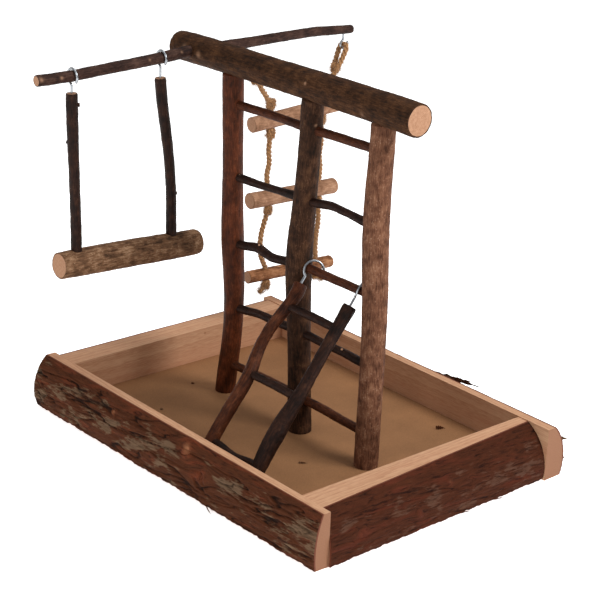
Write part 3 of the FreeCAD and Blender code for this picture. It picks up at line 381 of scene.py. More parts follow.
def branch_finish(name, colors, fleck, gloss, flecks, streak):
    """Thin bark of a cut branch: long streaks and cork flecks outside, and rings at the cut ends.

    To the eye it is dry and dull, a little uneven in tone, with crisp pale wood where the saw went.
    """
    looks = bpy.context.scene.branch_looks
    material, new, shader = new_material(name, gloss, Specular_IOR_Level=0.12)
    skin = new(CARRIED, out="Vector", attribute_name="skin")
    girth, height, scar = [new(CARRIED, out="Fac", attribute_name=item)
                           for item in ("girth", "height", "scar")]
    # Bark fibres are about 1 mm apart and 7 mm long, and blotches about 12 mm across.
    fibres = new(SCALED, skin, Scale=(1000 * streak, 1000 * streak, 140 * streak))
    fibre = new(NOISE, fibres, Scale=1.0, Detail=6.0, Roughness=0.65)
    blotch = new(NOISE, skin, Scale=85.0, Detail=4.0, Roughness=0.6)
    tone = new(TIMES_PLUS, fibre, 0.5, new(TIMES, blotch, 0.5))
    # The height term is painted shade: the tone follows the bark height that raises the mesh, a little
    # darker in the grooves and lighter on the ridges.
    tone = new(TIMES_PLUS, height, 0.07, tone)
    spread = new(RANGE, tone, 0.38, 0.64)
    shades = [(number / (len(colors) - 1), shade) for number, shade in enumerate(colors)]
    bark = new("ValToRGB", spread, stops=shades)
    # Cork flecks are 1 to 2 mm across and sit in loose groups.
    corks = new(SCALED, skin, Scale=(520, 520, 360))
    cork = new(CELLS, corks, Scale=1.0)
    dots = new(RANGE, cork, 0.12, 0.34, 1.0, 0.0)
    groups = new(RANGE, blotch, 0.42, 0.6, 0.0, flecks)
    flecked = new(TIMES, dots, groups)
    # Growth rings are about 1.2 mm apart.
    flat = new(VECTOR, skin, (1, 1, 0), operation="MULTIPLY")
    radial = new(VECTOR, flat, operation="LENGTH", out="Value")
    wobble = new(NOISE, skin, Scale=420.0, Detail=5.0, Roughness=0.7)
    phase = new(TIMES_PLUS, radial, TAU / 0.0012, new(TIMES, wobble, 6.0))
    ring = new(TIMES_PLUS, new(MATH, phase, operation="SINE"), 0.14, new(TIMES_PLUS, wobble, 1.5, -0.35))
    grain = coated(new, list(looks.wood), (ring, list(looks.ring)))
    ratio = new(OVER, radial, girth)
    inside = new(MATH, ratio, 0.93, operation="LESS_THAN")
    base = coated(new, bark, (flecked, fleck), (new(MATH, inside, scar, operation="MAXIMUM"), grain))
    rough = new(TIMES_PLUS, dots, 0.35, fibre)
    apply_finish(new, shader, base, rough, 0.6, 0.6)
    return material


def slab_bark(name, grey, brown, red, fissure_and_shade, greyness):
    """Pine bark: grey weathered plates, brown flanks and near-black fissures over red inner bark.

    To the eye it is rough, flaky and quite matt, with warm red only where a plate has come off. The
    near-black of its fissures and cracks is partly the bark's own dark colour and partly painted shade.
    """
    material, new, shader = new_material(name, 0.9, Specular_IOR_Level=0.1)
    skin = new(CARRIED, out="Vector", attribute_name="skin")
    height, band, scar, swirl = [new(CARRIED, out="Fac", attribute_name=item)
                                 for item in ("height", "band", "scar", "swirl")]
    # Flakes are about 2 mm wide and 14 mm long, and weathered patches about 30 mm long.
    flakes = new(SCALED, skin, Scale=(440, 440, 70))
    flake = new(NOISE, flakes, Scale=1.0, Detail=7.0, Roughness=0.68, Distortion=0.9)
    patches = new(SCALED, skin, Scale=(90, 90, 34))
    patch = new(NOISE, patches, Scale=1.0, Detail=4.0, Roughness=0.6)
    warmth = new(TIMES_PLUS, band, 0.34, new(TIMES, swirl, 0.4))
    age = new(MINUS, new(TIMES_PLUS, flake, 0.45, patch), warmth)
    old = new(RANGE, age, 0.72 - greyness, 0.8 - greyness)
    reds = new(NOISE, flakes, Scale=0.35, Detail=5.0)
    warm = new(RANGE, new(PLUS, reds, new(TIMES, warmth, 0.3)), 0.56, 0.7, 0.0, 0.8)
    glow = new(TIMES, warm, new(MINUS, 1.0, old))
    # Fissures are where the bark lies low, and fine cracks where its flakes part. Both take the near-black
    # fissure colour, which is partly dark bark and partly painted shade in these recesses.
    sunk = new(TIMES_PLUS, flake, 0.9, height)
    fissure_and_shade_mask = new(RANGE, sunk, -0.4, 0.22, 0.85, 0.0)
    crack = new(RANGE, flake, 0.34, 0.45, 0.6, 0.0)
    base = coated(new, brown, (old, grey), (glow, red), (crack, fissure_and_shade), (fissure_and_shade_mask, fissure_and_shade),
                  (scar, linear("#a5704f")))
    shade = new(RANGE, flake, 0.3, 0.7, 0.72, 1.3)
    base = new(RESIZED, base, Scale=shade)
    apply_finish(new, shader, base, flake, 0.9, 1.3)
    return material


def sawn_finish():
    """Band-sawn pine: lengthwise late-wood lines, arcs at the ends, and a rim of inner bark.

    To the eye it is the palest part of the tray, pinkish, furry from the saw and hardly glossy.
    """
    looks = bpy.context.scene.tray_looks
    material, new, shader = new_material("sawn pine", 0.72, Specular_IOR_Level=0.3)
    skin = new(CARRIED, out="Vector", attribute_name="skin")
    rim, end, scar = [new(CARRIED, out="Fac", attribute_name=item) for item in ("rim", "end", "scar")]
    # The log's pith lies 60 mm behind the slab's flat side, and its rings are 4 mm apart.
    centered = new(SCALED, skin, Location=(0.06, -0.02, 0.0), Scale=(1, 1, 0.04))
    drift = new(NOISE, centered, Scale=60.0, Detail=5.0, Roughness=0.6)
    radial = new(VECTOR, new(VECTOR, centered, (1, 1, 0), operation="MULTIPLY"), operation="LENGTH",
                 out="Value")
    phase = new(TIMES_PLUS, drift, 4.5, new(OVER, radial, 0.004))
    late = new(RANGE, new(MATH, phase, operation="FRACT"), 0.2, 0.95, interpolation_type="SMOOTHSTEP")
    threads = new(SCALED, skin, Scale=(1100, 1100, 110))
    thread = new(NOISE, threads, Scale=1.0, Detail=4.0)
    fine = new(TIMES_PLUS, thread, 1.5, -0.65)
    tone = new(TIMES_PLUS, late, 0.34, fine)
    stain = new(NOISE, centered, Scale=30.0, Detail=3.0)
    warm = new(RANGE, stain, 0.48, 0.7, 0.0, 0.5)
    base = coated(new, list(looks.sawn), (tone, list(looks.late)), (warm, linear("#b4795a")),
                  (end, coated(new, linear("#956a4e"), (thread, linear("#7b5139")))),
                  (new(MATH, rim, 0.04, operation="GREATER_THAN"), list(looks.red)),
                  (scar, linear("#8a5434")))
    apply_finish(new, shader, base, thread, 0.35, 0.4)
    return material


def board_finish():
    """Hard-pressed fibreboard: fine brown fibres with darker specks and broad pale clouds.

    To the eye it is flat and even, a plain sandy ground that carries the branches' shadows.
    """
    looks = bpy.context.scene.tray_looks
    material, new, shader = new_material("fibreboard", 0.8, Specular_IOR_Level=0.25)
    place = new("TexCoord", out="Object")
    # Fibres are 0.7 mm wide, and clouds of colour about 40 mm across.
    fine = new(NOISE, place, Scale=1400.0, Detail=3.0, Roughness=0.7)
    cloud = new(NOISE, place, Scale=26.0, Detail=4.0)
    tone = new(TIMES_PLUS, fine, 0.75, new(TIMES, cloud, 0.4))
    shade = new(RANGE, tone, 0.35, 0.8, 0.7, 1.25)
    base = new(RESIZED, list(looks.board)[:3], Scale=shade)
    apply_finish(new, shader, base, fine, 0.25, 0.3)
    return material


def jute_finish():
    """Jute: golden, dry and hairy, with fine yarn lines that run across the strands.

    To the eye its edge is soft, and the grooves between the strands look dark.
    """
    looks = bpy.context.scene.rope_looks
    material, new, shader = new_material("jute", 0.9, Specular_IOR_Level=0.2, Sheen_Weight=0.25)
    place = new("TexCoord", out="Object")
    # Yarns cross a strand every 0.8 mm.
    turn, along = [new(CARRIED, out="Fac", attribute_name=item) for item in ("turn", "along")]
    phase = new(TIMES_PLUS, along, TAU / 0.0008, new(TIMES, turn, TAU * 2))
    yarn = new(TIMES_PLUS, new(MATH, phase, operation="SINE"), 0.22, -0.15)
    fuzz = new(NOISE, place, Scale=1100.0, Detail=5.0, Roughness=0.7)
    tone = new(TIMES_PLUS, fuzz, 1.3, yarn)
    # Painted shade: the yarn lines lay the jute shade colour between the yarns and the lit jute colour on
    # them, while the fibre noise varies the tone at random.
    base = coated(new, list(looks.shade), (tone, list(looks.jute)))
    apply_finish(new, shader, base, tone, 0.8, 0.4)
    return material


def zinc_finish():
    """Zinc-plated steel wire: bright, with faint draw marks.

    To the eye it gives small hard glints, the only glossy thing on the stand.
    """
    material, new, shader = new_material("zinc plated steel", 0.28, Metallic=1.0)
    place = new("TexCoord", out="Object")
    # Draw marks are about 0.5 mm apart.
    marks = new(NOISE, place, Scale=2000.0, Detail=3.0)
    base = new("ValToRGB", marks, stops=[(0.0, linear("#7d8186")), (1.0, linear("#c2c6ca"))])
    rough = new(RANGE, marks, 0.3, 0.7, 0.2, 0.38)
    shader.id_data.links.new(rough, shader.inputs["Roughness"])
    apply_finish(new, shader, base, marks, 0.15, 0.1)
    return material


# Each branch finish: its bark from dark to light, its flecks, gloss, share of flecks and fineness.
BRANCH_FINISHES = {
    "smooth red brown bark": (("#2d1407", "#4a220f", "#64311a"), "#7b4e30", 0.55, 0.25, 0.9),
    "speckled red brown bark": (("#402619", "#684330", "#886149"), "#9b7760", 0.75, 0.7, 1.0),
    "dark brown bark": (("#1b0f07", "#372114", "#523623"), "#664733", 0.72, 0.45, 1.0),
    "olive brown bark": (("#1d0f06", "#3b2312", "#543620"), "#68462b", 0.74, 0.4, 0.8),
    "purple brown bark": (("#1d100c", "#38241d", "#4f382e"), "#644c40", 0.66, 0.3, 1.0),
    "black bark": (("#110805", "#25130c", "#3b2317"), "#523829", 0.5, 0.3, 1.0),
    "red twig bark": (("#260f06", "#452211", "#61351f"), "#754e35", 0.52, 0.25, 1.0),
    "mottled grey bark": (("#39281b", "#6f4f38", "#9d7b5e"), "#b19172", 0.8, 0.6, 0.7),
    "pale grey bark": (("#72503a", "#966f55", "#b38b6f"), "#bf9a7d", 0.75, 0.35, 1.0),
    "ridged tan bark": (("#4a2b1b", "#855738", "#ae7d59"), "#b88a65", 0.7, 0.3, 0.6),
}
MADE = {}


def shared(name, maker):
    """A material or tree that several pieces share, made once."""
    if name not in MADE:
        MADE[name] = maker()
    return MADE[name]


def branch_material(name):
    """A branch finish from the list, made once."""
    colors, fleck, gloss, flecks, streak = BRANCH_FINISHES[name]
    return shared(name, lambda: branch_finish(name, [linear(code) for code in colors], linear(fleck), gloss,
                                              flecks, streak))


# ---------------------------------------------------------------- branches

def surface_of(node):
    """A frame node's surface for rays, and its points."""
    mesh = frame["nodes"][node].data
    spots = [vertex.co.copy() for vertex in mesh.vertices]
    return BVHTree.FromPolygons(spots, [face.vertices for face in mesh.polygons]), np.array(spots)


def circle_through(points):
    """Center, radius and miss of the circle nearest to 2D points, without the few that fall in holes."""
    for keep in (2.5, 1.6, 1.6):
        rows = np.c_[2 * points, np.ones(len(points))]
        fit = np.linalg.lstsq(rows, (points ** 2).sum(axis=1), rcond=None)[0]
        center = fit[:2]
        radius = math.sqrt(max(fit[2] + center @ center, 1e-10))
        miss = abs(np.linalg.norm(points - center, axis=1) - radius)
        good = miss <= max(0.0001, keep * np.median(miss))
        if good.sum() < 9:
            break
        points = points[good]
    return center, radius, float(np.median(miss))


def middle_line(node, step, soften, neck):
    """Rows of x, y, z and radius along a round frame node, found by rays towards its middle.

    Soften is the length over which the line is smoothed, and neck that of the upper end's chamfer.
    """
    surface, spots = surface_of(node)
    heading = np.linalg.svd(spots - spots.mean(axis=0), full_matrices=False)[2][0]
    heading *= np.sign(heading[np.argmax(abs(heading))])
    reach = spots @ heading
    side = np.cross(heading, (0.3, 0.5, 0.8))
    side /= np.linalg.norm(side)
    other = np.cross(heading, side)
    plane = np.array((side, other)).T
    around, spacing, inset, nearby, far, worst_miss = 32, 0.0015, 0.0006, 0.004, 0.03, 0.0002
    turns = np.linspace(0, TAU, around, endpoint=False)
    rays = np.outer(np.cos(turns), side) + np.outer(np.sin(turns), other)
    start, stop = reach.min(), reach.max()
    rows = []
    for place in np.linspace(start + inset, stop - inset, int((stop - start) / spacing)):
        near = spots[abs(reach - place) < nearby]
        if len(near) < 6 and not rows:
            continue
        guess = (near.min(axis=0) + near.max(axis=0)) / 2 if len(near) >= 6 else rows[-1][1:4]
        guess = guess + heading * (place - guess @ heading)
        hits = [surface.ray_cast(Vector(guess + ray * far), Vector(-ray), far)[0] for ray in rays]
        flat = np.array([(np.array(hit) - guess) @ plane for hit in hits if hit is not None])
        if len(flat) < 12:
            continue
        center, radius, miss = circle_through(flat)
        if miss < worst_miss:
            rows.append((place, *(guess + side * center[0] + other * center[1]), radius))
    rows = np.array(rows)
    usual = np.median(rows[:, 4])
    rows = rows[(rows[:, 4] > 0.55 * usual) & (rows[:, 4] < 1.8 * usual)]
    places = np.linspace(start, stop, int((stop - start) / step))
    line = np.array([np.interp(places, rows[:, 0], rows[:, column]) for column in (1, 2, 3, 4)]).T
    window = max(1, int(soften / step)) | 1
    padded = np.pad(line, ((window // 2, window // 2), (0, 0)), mode="edge")
    line = np.array([np.convolve(padded[:, column], np.ones(window) / window, "valid")
                     for column in range(4)]).T
    # A saw leaves the lower rim slightly broken, and the upper end tapers over its neck.
    chip = 0.0005
    for end, place in ((0, start), (-1, stop)):
        line[end, :3] += heading * (place - line[end, :3] @ heading)
    rim = line[[0, -1]].copy()
    rim[:, 3] -= chip, neck
    line[0, :3] += heading * chip
    line = line[(stop - line[:, :3] @ heading) > neck]
    return np.vstack([rim[:1], line, rim[1:]])


def path_object(name, lines):
    """Open chains of points, each point carrying its radius as girth."""
    mesh = bpy.data.meshes.new(name)
    edges, count = [], 0
    for line in lines:
        edges += [(count + number, count + number + 1) for number in range(len(line) - 1)]
        count += len(line)
    points = np.vstack(lines)
    mesh.from_pydata(points[:, :3].tolist(), edges, [])
    carry(mesh, "girth", points[:, 3])
    return placed(name, mesh)


def stub_line(line, share, way, reach, thick):
    """A short twig stub that leaves a branch at a share of its length, in a direction."""
    root = line[int(share * (len(line) - 1))]
    way = np.array(way, float) / np.linalg.norm(way)
    rows = [(*(root[:3] + way * (root[3] + reach * MM) * at), thick * MM * (1.3 - 0.4 * at))
            for at in np.linspace(0, 1, 9)]
    rows.append((*(rows[-1][:3] + way * 0.0003), thick * MM * 0.7))
    return np.array(rows)


def vectors_of(mesh, name):
    """Points or normals of a mesh as rows."""
    values = np.zeros(len(mesh.vertices) * 3, np.float32)
    mesh.vertices.foreach_get(name, values)
    return values.reshape(-1, 3)


def mark(mesh, knots):
    """Raises knots, each (point, width, height, bareness) in millimetres, with a hollow and a scar."""
    spots, normals = vectors_of(mesh, "co"), vectors_of(mesh, "normal")
    scar = np.zeros(len(spots), np.float32)
    for point, width, height, bare in knots:
        away = np.linalg.norm(spots - np.array(point) * MM, axis=1) / (width * MM)
        hill = np.exp(-away ** 2) - 0.75 * np.exp(-(away / 0.35) ** 2)
        spots = spots + normals * (hill * height * MM)[:, None]
        scar = np.maximum(scar, bare * np.exp(-(away / 0.45) ** 2))
    mesh.vertices.foreach_set("co", spots.ravel())
    carry(mesh, "scar", scar)
    mesh.update()


def grow(node, material, relief=1.0, width=2.0, stretch=6.0, stubs=(), knots=(), soften=0.004, neck=0.5):
    """Replaces a round node with a branch that follows it.

    Relief is a share of the usual one. The bark's ridges are width mm apart and stretch times as
    long. Stubs are (share of the length, direction, reach, radius), and knots (point, width, height,
    bareness), in millimetres, and so is the neck, by which the upper end is chamfered.
    """
    looks = bpy.context.scene.branch_looks
    line = middle_line(node, looks.step, soften, neck * MM)
    lines = [line] + [stub_line(line, *stub) for stub in stubs]
    settings = {
        "Sides": max(20, int(looks.sides * float(np.median(line[:, 3])) / 0.01)),
        "Relief": looks.relief * relief, "Width": width * MM, "Stretch": stretch,
        "Seed": float(sum(map(ord, node)) % 97), "Finish": branch_material(material),
    }
    path = path_object(node + "_path", lines)
    piece = baked(path, shared("Branch", branch_tree), settings, node + "_bark")
    mark(piece.data, knots)
    return dress(piece, node)


# ---------------------------------------------------------------- slabs

def bark_grid(node, axis, outward, step):
    """Points and normals of a slab's bark, found by rays, and the places along and up the slab."""
    surface = surface_of(node)[0]
    low, high = [np.array(corner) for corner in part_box(node)]
    across = 1 - axis
    spans = np.linspace(low[axis], high[axis], int((high[axis] - low[axis]) / step) + 1)
    levels = np.linspace(high[2], 0, int(high[2] * 1.2 / step) + 1)
    way = np.zeros(3)
    way[across] = outward
    bark = np.zeros((len(spans), len(levels), 3))
    out = np.zeros_like(bark)
    inset = 0.00006
    for i, span in enumerate(spans):
        for j, level in enumerate(levels):
            start = way * 0.4
            start[axis] = np.clip(span, low[axis] + inset, high[axis] - inset)
            start[2] = np.clip(level, inset, high[2] - inset)
            hit, normal = surface.ray_cast(Vector(start), Vector(-way))[:2]
            bark[i, j], out[i, j] = hit, normal
            bark[i, j, axis], bark[i, j, 2] = span, level
    return bark, out, low[across] if outward > 0 else high[across], spans, levels


def cut_slab(node, axis, outward, bark, relief, width, stretch, plates, knots=(), swirls=(), slant=0.0):
    """Replaces a slab node: bark with relief outside and sawn wood elsewhere.

    The slab runs along an axis, its bark faces outward along the other, and plates are the share of
    plates in the bark. Knots are (point, width, height, bareness), and swirls (along, height,
    reach), in millimetres. The slant is how steeply the grain climbs.
    """
    looks = bpy.context.scene.tray_looks
    outer, out, flat_side, spans, levels = bark_grid(node, axis, outward, looks.grid)
    across = 1 - axis
    inner = outer.copy()
    inner[:, :, across] = flat_side
    thick = np.abs(outer[:, :, across] - flat_side)
    share = np.clip(looks.rim / np.maximum(thick, 1e-4), 0.05, 0.6)[:, :, None]
    # The bark's lower edge is ragged, by up to 1.6 mm in waves of 7 to 40 mm.
    ragged = sum(np.sin(spans * TAU / wave + wave * 900) for wave in (0.007, 0.011, 0.019, 0.04)) / 4
    outer[:, :, 2] += (0.0008 + 0.0008 * ragged)[:, None] * np.exp(-levels / 0.004)[None, :]
    layers = np.stack([outer, outer * (1 - share) + inner * share, inner])
    number = np.arange(layers.size // 3).reshape(layers.shape[:3])
    sheets = [number[0], number[2], number[:, 0, :], number[:, -1, :], number[:, :, 0], number[:, :, -1]]
    faces = [np.stack([grid[:-1, :-1], grid[1:, :-1], grid[1:, 1:], grid[:-1, 1:]], axis=-1).reshape(-1, 4)
             for grid in sheets]
    mesh = bpy.data.meshes.new(node)
    mesh.from_pydata(layers.reshape(-1, 3).tolist(), [], np.vstack(faces).tolist())
    turn = np.arange(len(mesh.polygons))
    barked = turn < len(faces[0])
    ends = (turn >= sum(map(len, faces[:2]))) & (turn < sum(map(len, faces[:4])))
    # The skin runs across the slab, up it and along it, and bends round the knots.
    skin = np.stack([np.abs(layers[..., across] - flat_side), layers[..., 2], layers[..., axis]], axis=-1)
    skin[..., 1] += slant * skin[..., 2]
    swirl = np.zeros(layers.shape[:3])
    for along, up, reach in swirls:
        off_along, off_up = layers[..., axis] - along * MM, layers[..., 2] - up * MM
        pull = np.exp(-(off_along ** 2 + (1.5 * off_up) ** 2) / (reach * MM) ** 2)
        skin[..., 1] -= off_up * pull * 0.85
        skin[..., 2] += off_along * pull * 1.5
        swirl = np.maximum(swirl, pull)
    taper = np.clip(np.minimum(levels.max() - levels, levels + 0.002) / 0.004, 0.2, 1.0)[None, :]
    calm = np.clip(np.minimum(spans - spans[0], spans[-1] - spans) / 0.003, 0.3, 1.0)[:, None]
    cover, rim, band = np.zeros((3, *layers.shape[:3]))
    outs = np.zeros_like(layers)
    cover[0], rim[0], outs[0] = taper * calm, 1.0, out
    band[0] = np.exp(-(levels.max() - levels) / 0.007)[None, :] + 0.6 * np.exp(-levels / 0.01)[None, :]
    for name, values in (("skin", skin), ("out", outs), ("cover", cover), ("rim", rim), ("band", band),
                         ("swirl", swirl)):
        carry(mesh, name, values)
    carry(mesh, "barked", barked, "FACE")
    carry(mesh, "end", ends.astype(float), "FACE")
    mesh.polygons.foreach_set("use_smooth", barked)
    outside_out(mesh)
    settings = {"Relief": looks.relief * relief, "Width": width * MM, "Stretch": stretch, "Plates": plates,
                "Seed": float(sum(map(ord, node)) % 89), "Bark": bark,
                "Wood": shared("sawn pine", sawn_finish)}
    piece = baked(placed(node + "_grid", mesh), shared("Bark slab", slab_tree), settings, node + "_bark")
    mark(piece.data, knots)
    return dress(piece, node)


def outside_out(mesh):
    """Turns a closed mesh's faces outwards."""
    shell = bmesh.new()
    shell.from_mesh(mesh)
    bmesh.ops.recalc_face_normals(shell, faces=shell.faces)
    shell.to_mesh(mesh)
    shell.free()


def splinter_mesh(splinters):
    """Thin curved leaves of bark, each (start, middle, tip, width) in millimetres."""
    shell = bmesh.new()
    for start, middle, tip, width in splinters:
        start, middle, tip = [Vector(point) * MM for point in (start, middle, tip)]
        rings = []
        for number in range(15):
            t = number / 14
            spot = start * (1 - t) ** 2 + middle * (2 * t * (1 - t)) + tip * t ** 2
            way = ((middle - start) * (1 - t) + (tip - middle) * t).normalized()
            flat = (Vector((0, 0, 1)) - way * way.z).normalized()
            broad = (0.35 + math.sin(math.pi * min(1, 0.25 + 0.75 * t))) * width * MM / 2 * (1 - t ** 3)
            jag = 1 + 0.35 * math.sin(number * 2.3 + start.x * 900)
            up = way.cross(flat) * 0.0005 * (1.2 - t)
            rings.append([shell.verts.new(spot + flat * broad * x * jag + up * y) for x,
                          y in ((-1, 0), (0, 1), (1, 0), (0, -1))])
        for low, high in zip(rings, rings[1:]):
            for side in range(4):
                shell.faces.new((low[side], low[side - 3], high[side - 3], high[side]))
        shell.faces.new(rings[0][::-1])
        shell.faces.new(rings[-1])
    bmesh.ops.recalc_face_normals(shell, faces=shell.faces)
    mesh = bpy.data.meshes.new("splinters")
    shell.to_mesh(mesh)
    shell.free()
    carry(mesh, "skin", vectors_of(mesh, "co"))
    return mesh


def splinters(name, slab, material, shapes):
    """Bark splinters that stand off a slab."""
    piece = placed(name, splinter_mesh(shapes))
    piece.data.materials.append(material)
    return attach(piece, BODY_OF[slab])


# ---------------------------------------------------------------- rope

# The ropes' routes in millimetres: from the arm along X, from the rope's hole in the perches along Y
# and from the seat in the hooks along Z, with each rope's length.
ROPE_ORIGIN = {"inner": (-145.0, 84.5, 320.5), "outer": (-145.0, 150.0, 320.5)}
ROPES = {
    ("upper", "inner"): (
        (-2.6, -20.0, -16.7), (-4.6, -26.7, -6.8), (-5.25, -34.0, 4.0), (5.25, -34.0, 4.0),
        (4.6, -26.7, -6.8), (2.6, -20.0, -16.7), (0.0, -13.2, -26.6), (0.0, -0.6, -43.5),
        (0.0, 0.1, -58.5), (0.0, 0.0, -72.5)),
    ("upper", "outer"): (
        (-2.6, 15.6, -18.2), (-4.6, 20.6, -7.4), (-5.25, 25.5, 4.0), (5.25, 25.5, 4.0), (4.6, 20.6, -7.4),
        (2.6, 15.6, -18.2), (0.0, 10.4, -28.4), (0.0, 0.6, -42.2), (0.0, -0.1, -56.5), (0.0, 0.0, -68.6)),
    ("middle", "inner"): (
        (0.0, -0.2, -77.8), (-0.7, -1.5, -89.5), (0.5, 0.1, -102.0), (-0.3, -3.2, -115.5),
        (0.0, -0.1, -129.5), (0.1, 0.1, -141.0), (0.0, 0.0, -151.0)),
    ("middle", "outer"): (
        (0.0, -0.1, -73.9), (0.7, 1.0, -88.5), (-0.4, -0.8, -104.0), (0.4, 1.2, -119.0),
        (0.0, 0.0, -132.0), (-0.1, -0.2, -143.0), (0.0, 0.0, -152.6)),
    ("lower", "inner"): (
        (0.0, -1.2, -156.2), (-0.6, -6.0, -169.5), (0.4, -9.2, -183.5), (-0.2, -7.6, -197.5),
        (0.0, -0.6, -211.0), (0.1, 0.1, -220.5), (0.0, 0.0, -229.3)),
    ("lower", "outer"): (
        (0.0, 0.3, -157.9), (0.6, 1.8, -172.5), (-0.5, 0.3, -187.0), (0.2, -1.4, -200.5),
        (0.0, 0.1, -212.5), (0.1, -0.1, -223.0), (0.0, 0.0, -232.2)),
}
LOOSE_END, BESIDE_LOOSE_END, ABOVE_PERCH, LAST = 0, 5, 7, -1
# Each group of knots: its node, the stretch and points that its knots sit on, and their radius.
KNOTS = {
    "loop": ("loop_knots", "upper", ((LOOSE_END, BESIDE_LOOSE_END),), 5.2),
    "upper": ("perch_1_knots", "upper", ((ABOVE_PERCH,), (LAST,)), 5.3),
    "middle": ("perch_2_knots", "middle", ((LAST,),), 5.0),
    "lower": ("perch_3_knots", "lower", ((LAST,),), 5.0),
}


def rope_point(stretch, side, number):
    """One point of a rope's route in the row frame, in metres."""
    return (np.array(ROPE_ORIGIN[side]) + np.array(ROPES[stretch, side][number])) * MM


def spline_mesh(name, points):
    """A chain of points along a NURBS spline with the given control points."""
    curve = bpy.data.curves.new(name, "CURVE")
    curve.dimensions = "3D"
    curve.resolution_u = 12
    spline = curve.splines.new("NURBS")
    spline.points.add(len(points) - 1)
    for item, point in zip(spline.points, points):
        item.co = (*point, 1.0)
    spline.order_u = 3
    spline.use_endpoint_u = True
    return plain_mesh(placed(name, curve))


def lay_rope(name, mesh, strand, lay, seed):
    """A laid rope along a chain of points."""
    settings = {"Strand": strand, "Lay": lay, "Seed": float(seed), "Finish": shared("jute", jute_finish)}
    return baked(placed(name + "_path", mesh), shared("Laid rope", rope_tree), settings, name)


def fray(name, rope, fibres, fibre, seed):
    """Stray fibres on a copy of a rope's surface, with so many on each square centimetre."""
    settings = {"Length": fibre, "Density": fibres * 1e4, "Seed": seed,
                "Finish": shared("jute", jute_finish)}
    source = placed(name + "_source", rope.data.copy())
    return baked(source, shared("Stray fibres", fibre_tree), settings, name)


def knot_mesh(center, radius, strand, turn):
    """The path of an overhand knot pulled tight, as a chain of points about its center."""
    count = 60
    reach = radius * MM - strand
    spots = []
    for number in range(count):
        t = TAU * number / (count - 1) * 0.97
        x = (math.sin(t) + 2 * math.sin(2 * t)) / 3 * reach
        y = (math.cos(t) - 2 * math.cos(2 * t)) / 3 * reach
        spots.append((center[0] + x * math.cos(turn) - y * math.sin(turn),
                      center[1] + x * math.sin(turn) + y * math.cos(turn),
                      center[2] - math.sin(3 * t) * reach * 1.25))
    mesh = bpy.data.meshes.new("knot")
    mesh.from_pydata(spots, [(number, number + 1) for number in range(count - 1)], [])
    return mesh


def joined(name, pieces):
    """One object from several plain mesh objects."""
    with bpy.context.temp_override(active_object=pieces[0], selected_editable_objects=pieces):
        bpy.ops.object.join()
    pieces[0].name = name
    return pieces[0]


# ---------------------------------------------------------------- operators

class PLAYSTAND_OT_stage(bpy.types.Operator):
    """Sets the camera, the soft lights and the pale floor"""
    bl_idname = "playstand.stage"
    bl_label = "Stage and Camera"

    def execute(self, context):
        scene = context.scene
        camera = placed("camera", bpy.data.cameras.new("camera"))
        camera.location = (1.09804, -0.95775, 0.69815)
        camera.rotation_euler = [math.radians(angle) for angle in (68.9852, -2.1789, 49.6092)]
        camera.data.lens = 103.631
        camera.data.sensor_width = 36
        camera.data.clip_start = 0.05
        camera.data.clip_end = 20
        scene.camera = camera
        mesh = bpy.data.meshes.new("floor")
        reach, below = 6.0, -0.0002
        mesh.from_pydata([(-reach, -reach, below), (reach, -reach, below), (reach, reach, below),
                          (-reach, reach, below)], [], [(0, 1, 2, 3)])
        # White paper, lit a little from below, which gives the eye an even white ground.
        material, new, shader = new_material("white paper", 0.9, Specular_IOR_Level=0.1,
                                             Emission_Strength=0.75)
        grain = new(NOISE, new("TexCoord", out="Object"), Scale=3.0)
        paper = new("ValToRGB", grain, stops=[(0.0, linear("#fcfcfc")), (1.0, linear("#ffffff"))])
        shader.id_data.links.new(paper, shader.inputs["Base Color"])
        shader.inputs["Emission Color"].default_value = linear("#ffffff")
        mesh.materials.append(material)
        placed("floor", mesh)
        aim = Vector((0, 0, 0.12))
        lamps = (("key", (1.5, 0.6, 1.6), 0.8, 34), ("top", (-0.3, 0.2, 2.2), 1.2, 12),
                 ("front", (0.2, -2.2, 0.9), 1.2, 9))
        for name, spot, size, power in lamps:
            lamp = placed(name, bpy.data.lights.new(name, "AREA"))
            lamp.data.size = size
            lamp.data.energy = power
            lamp.location = spot
            lamp.rotation_euler = (aim - Vector(spot)).to_track_quat("-Z", "Y").to_euler()
        world = bpy.data.worlds.new("studio")
        world.use_nodes = True
        world.node_tree.nodes["Background"].inputs[0].default_value = (1, 1, 1, 1)
        world.node_tree.nodes["Background"].inputs[1].default_value = 0.38
        scene.world = world
        scene.view_settings.view_transform = "Standard"
        return {"FINISHED"}


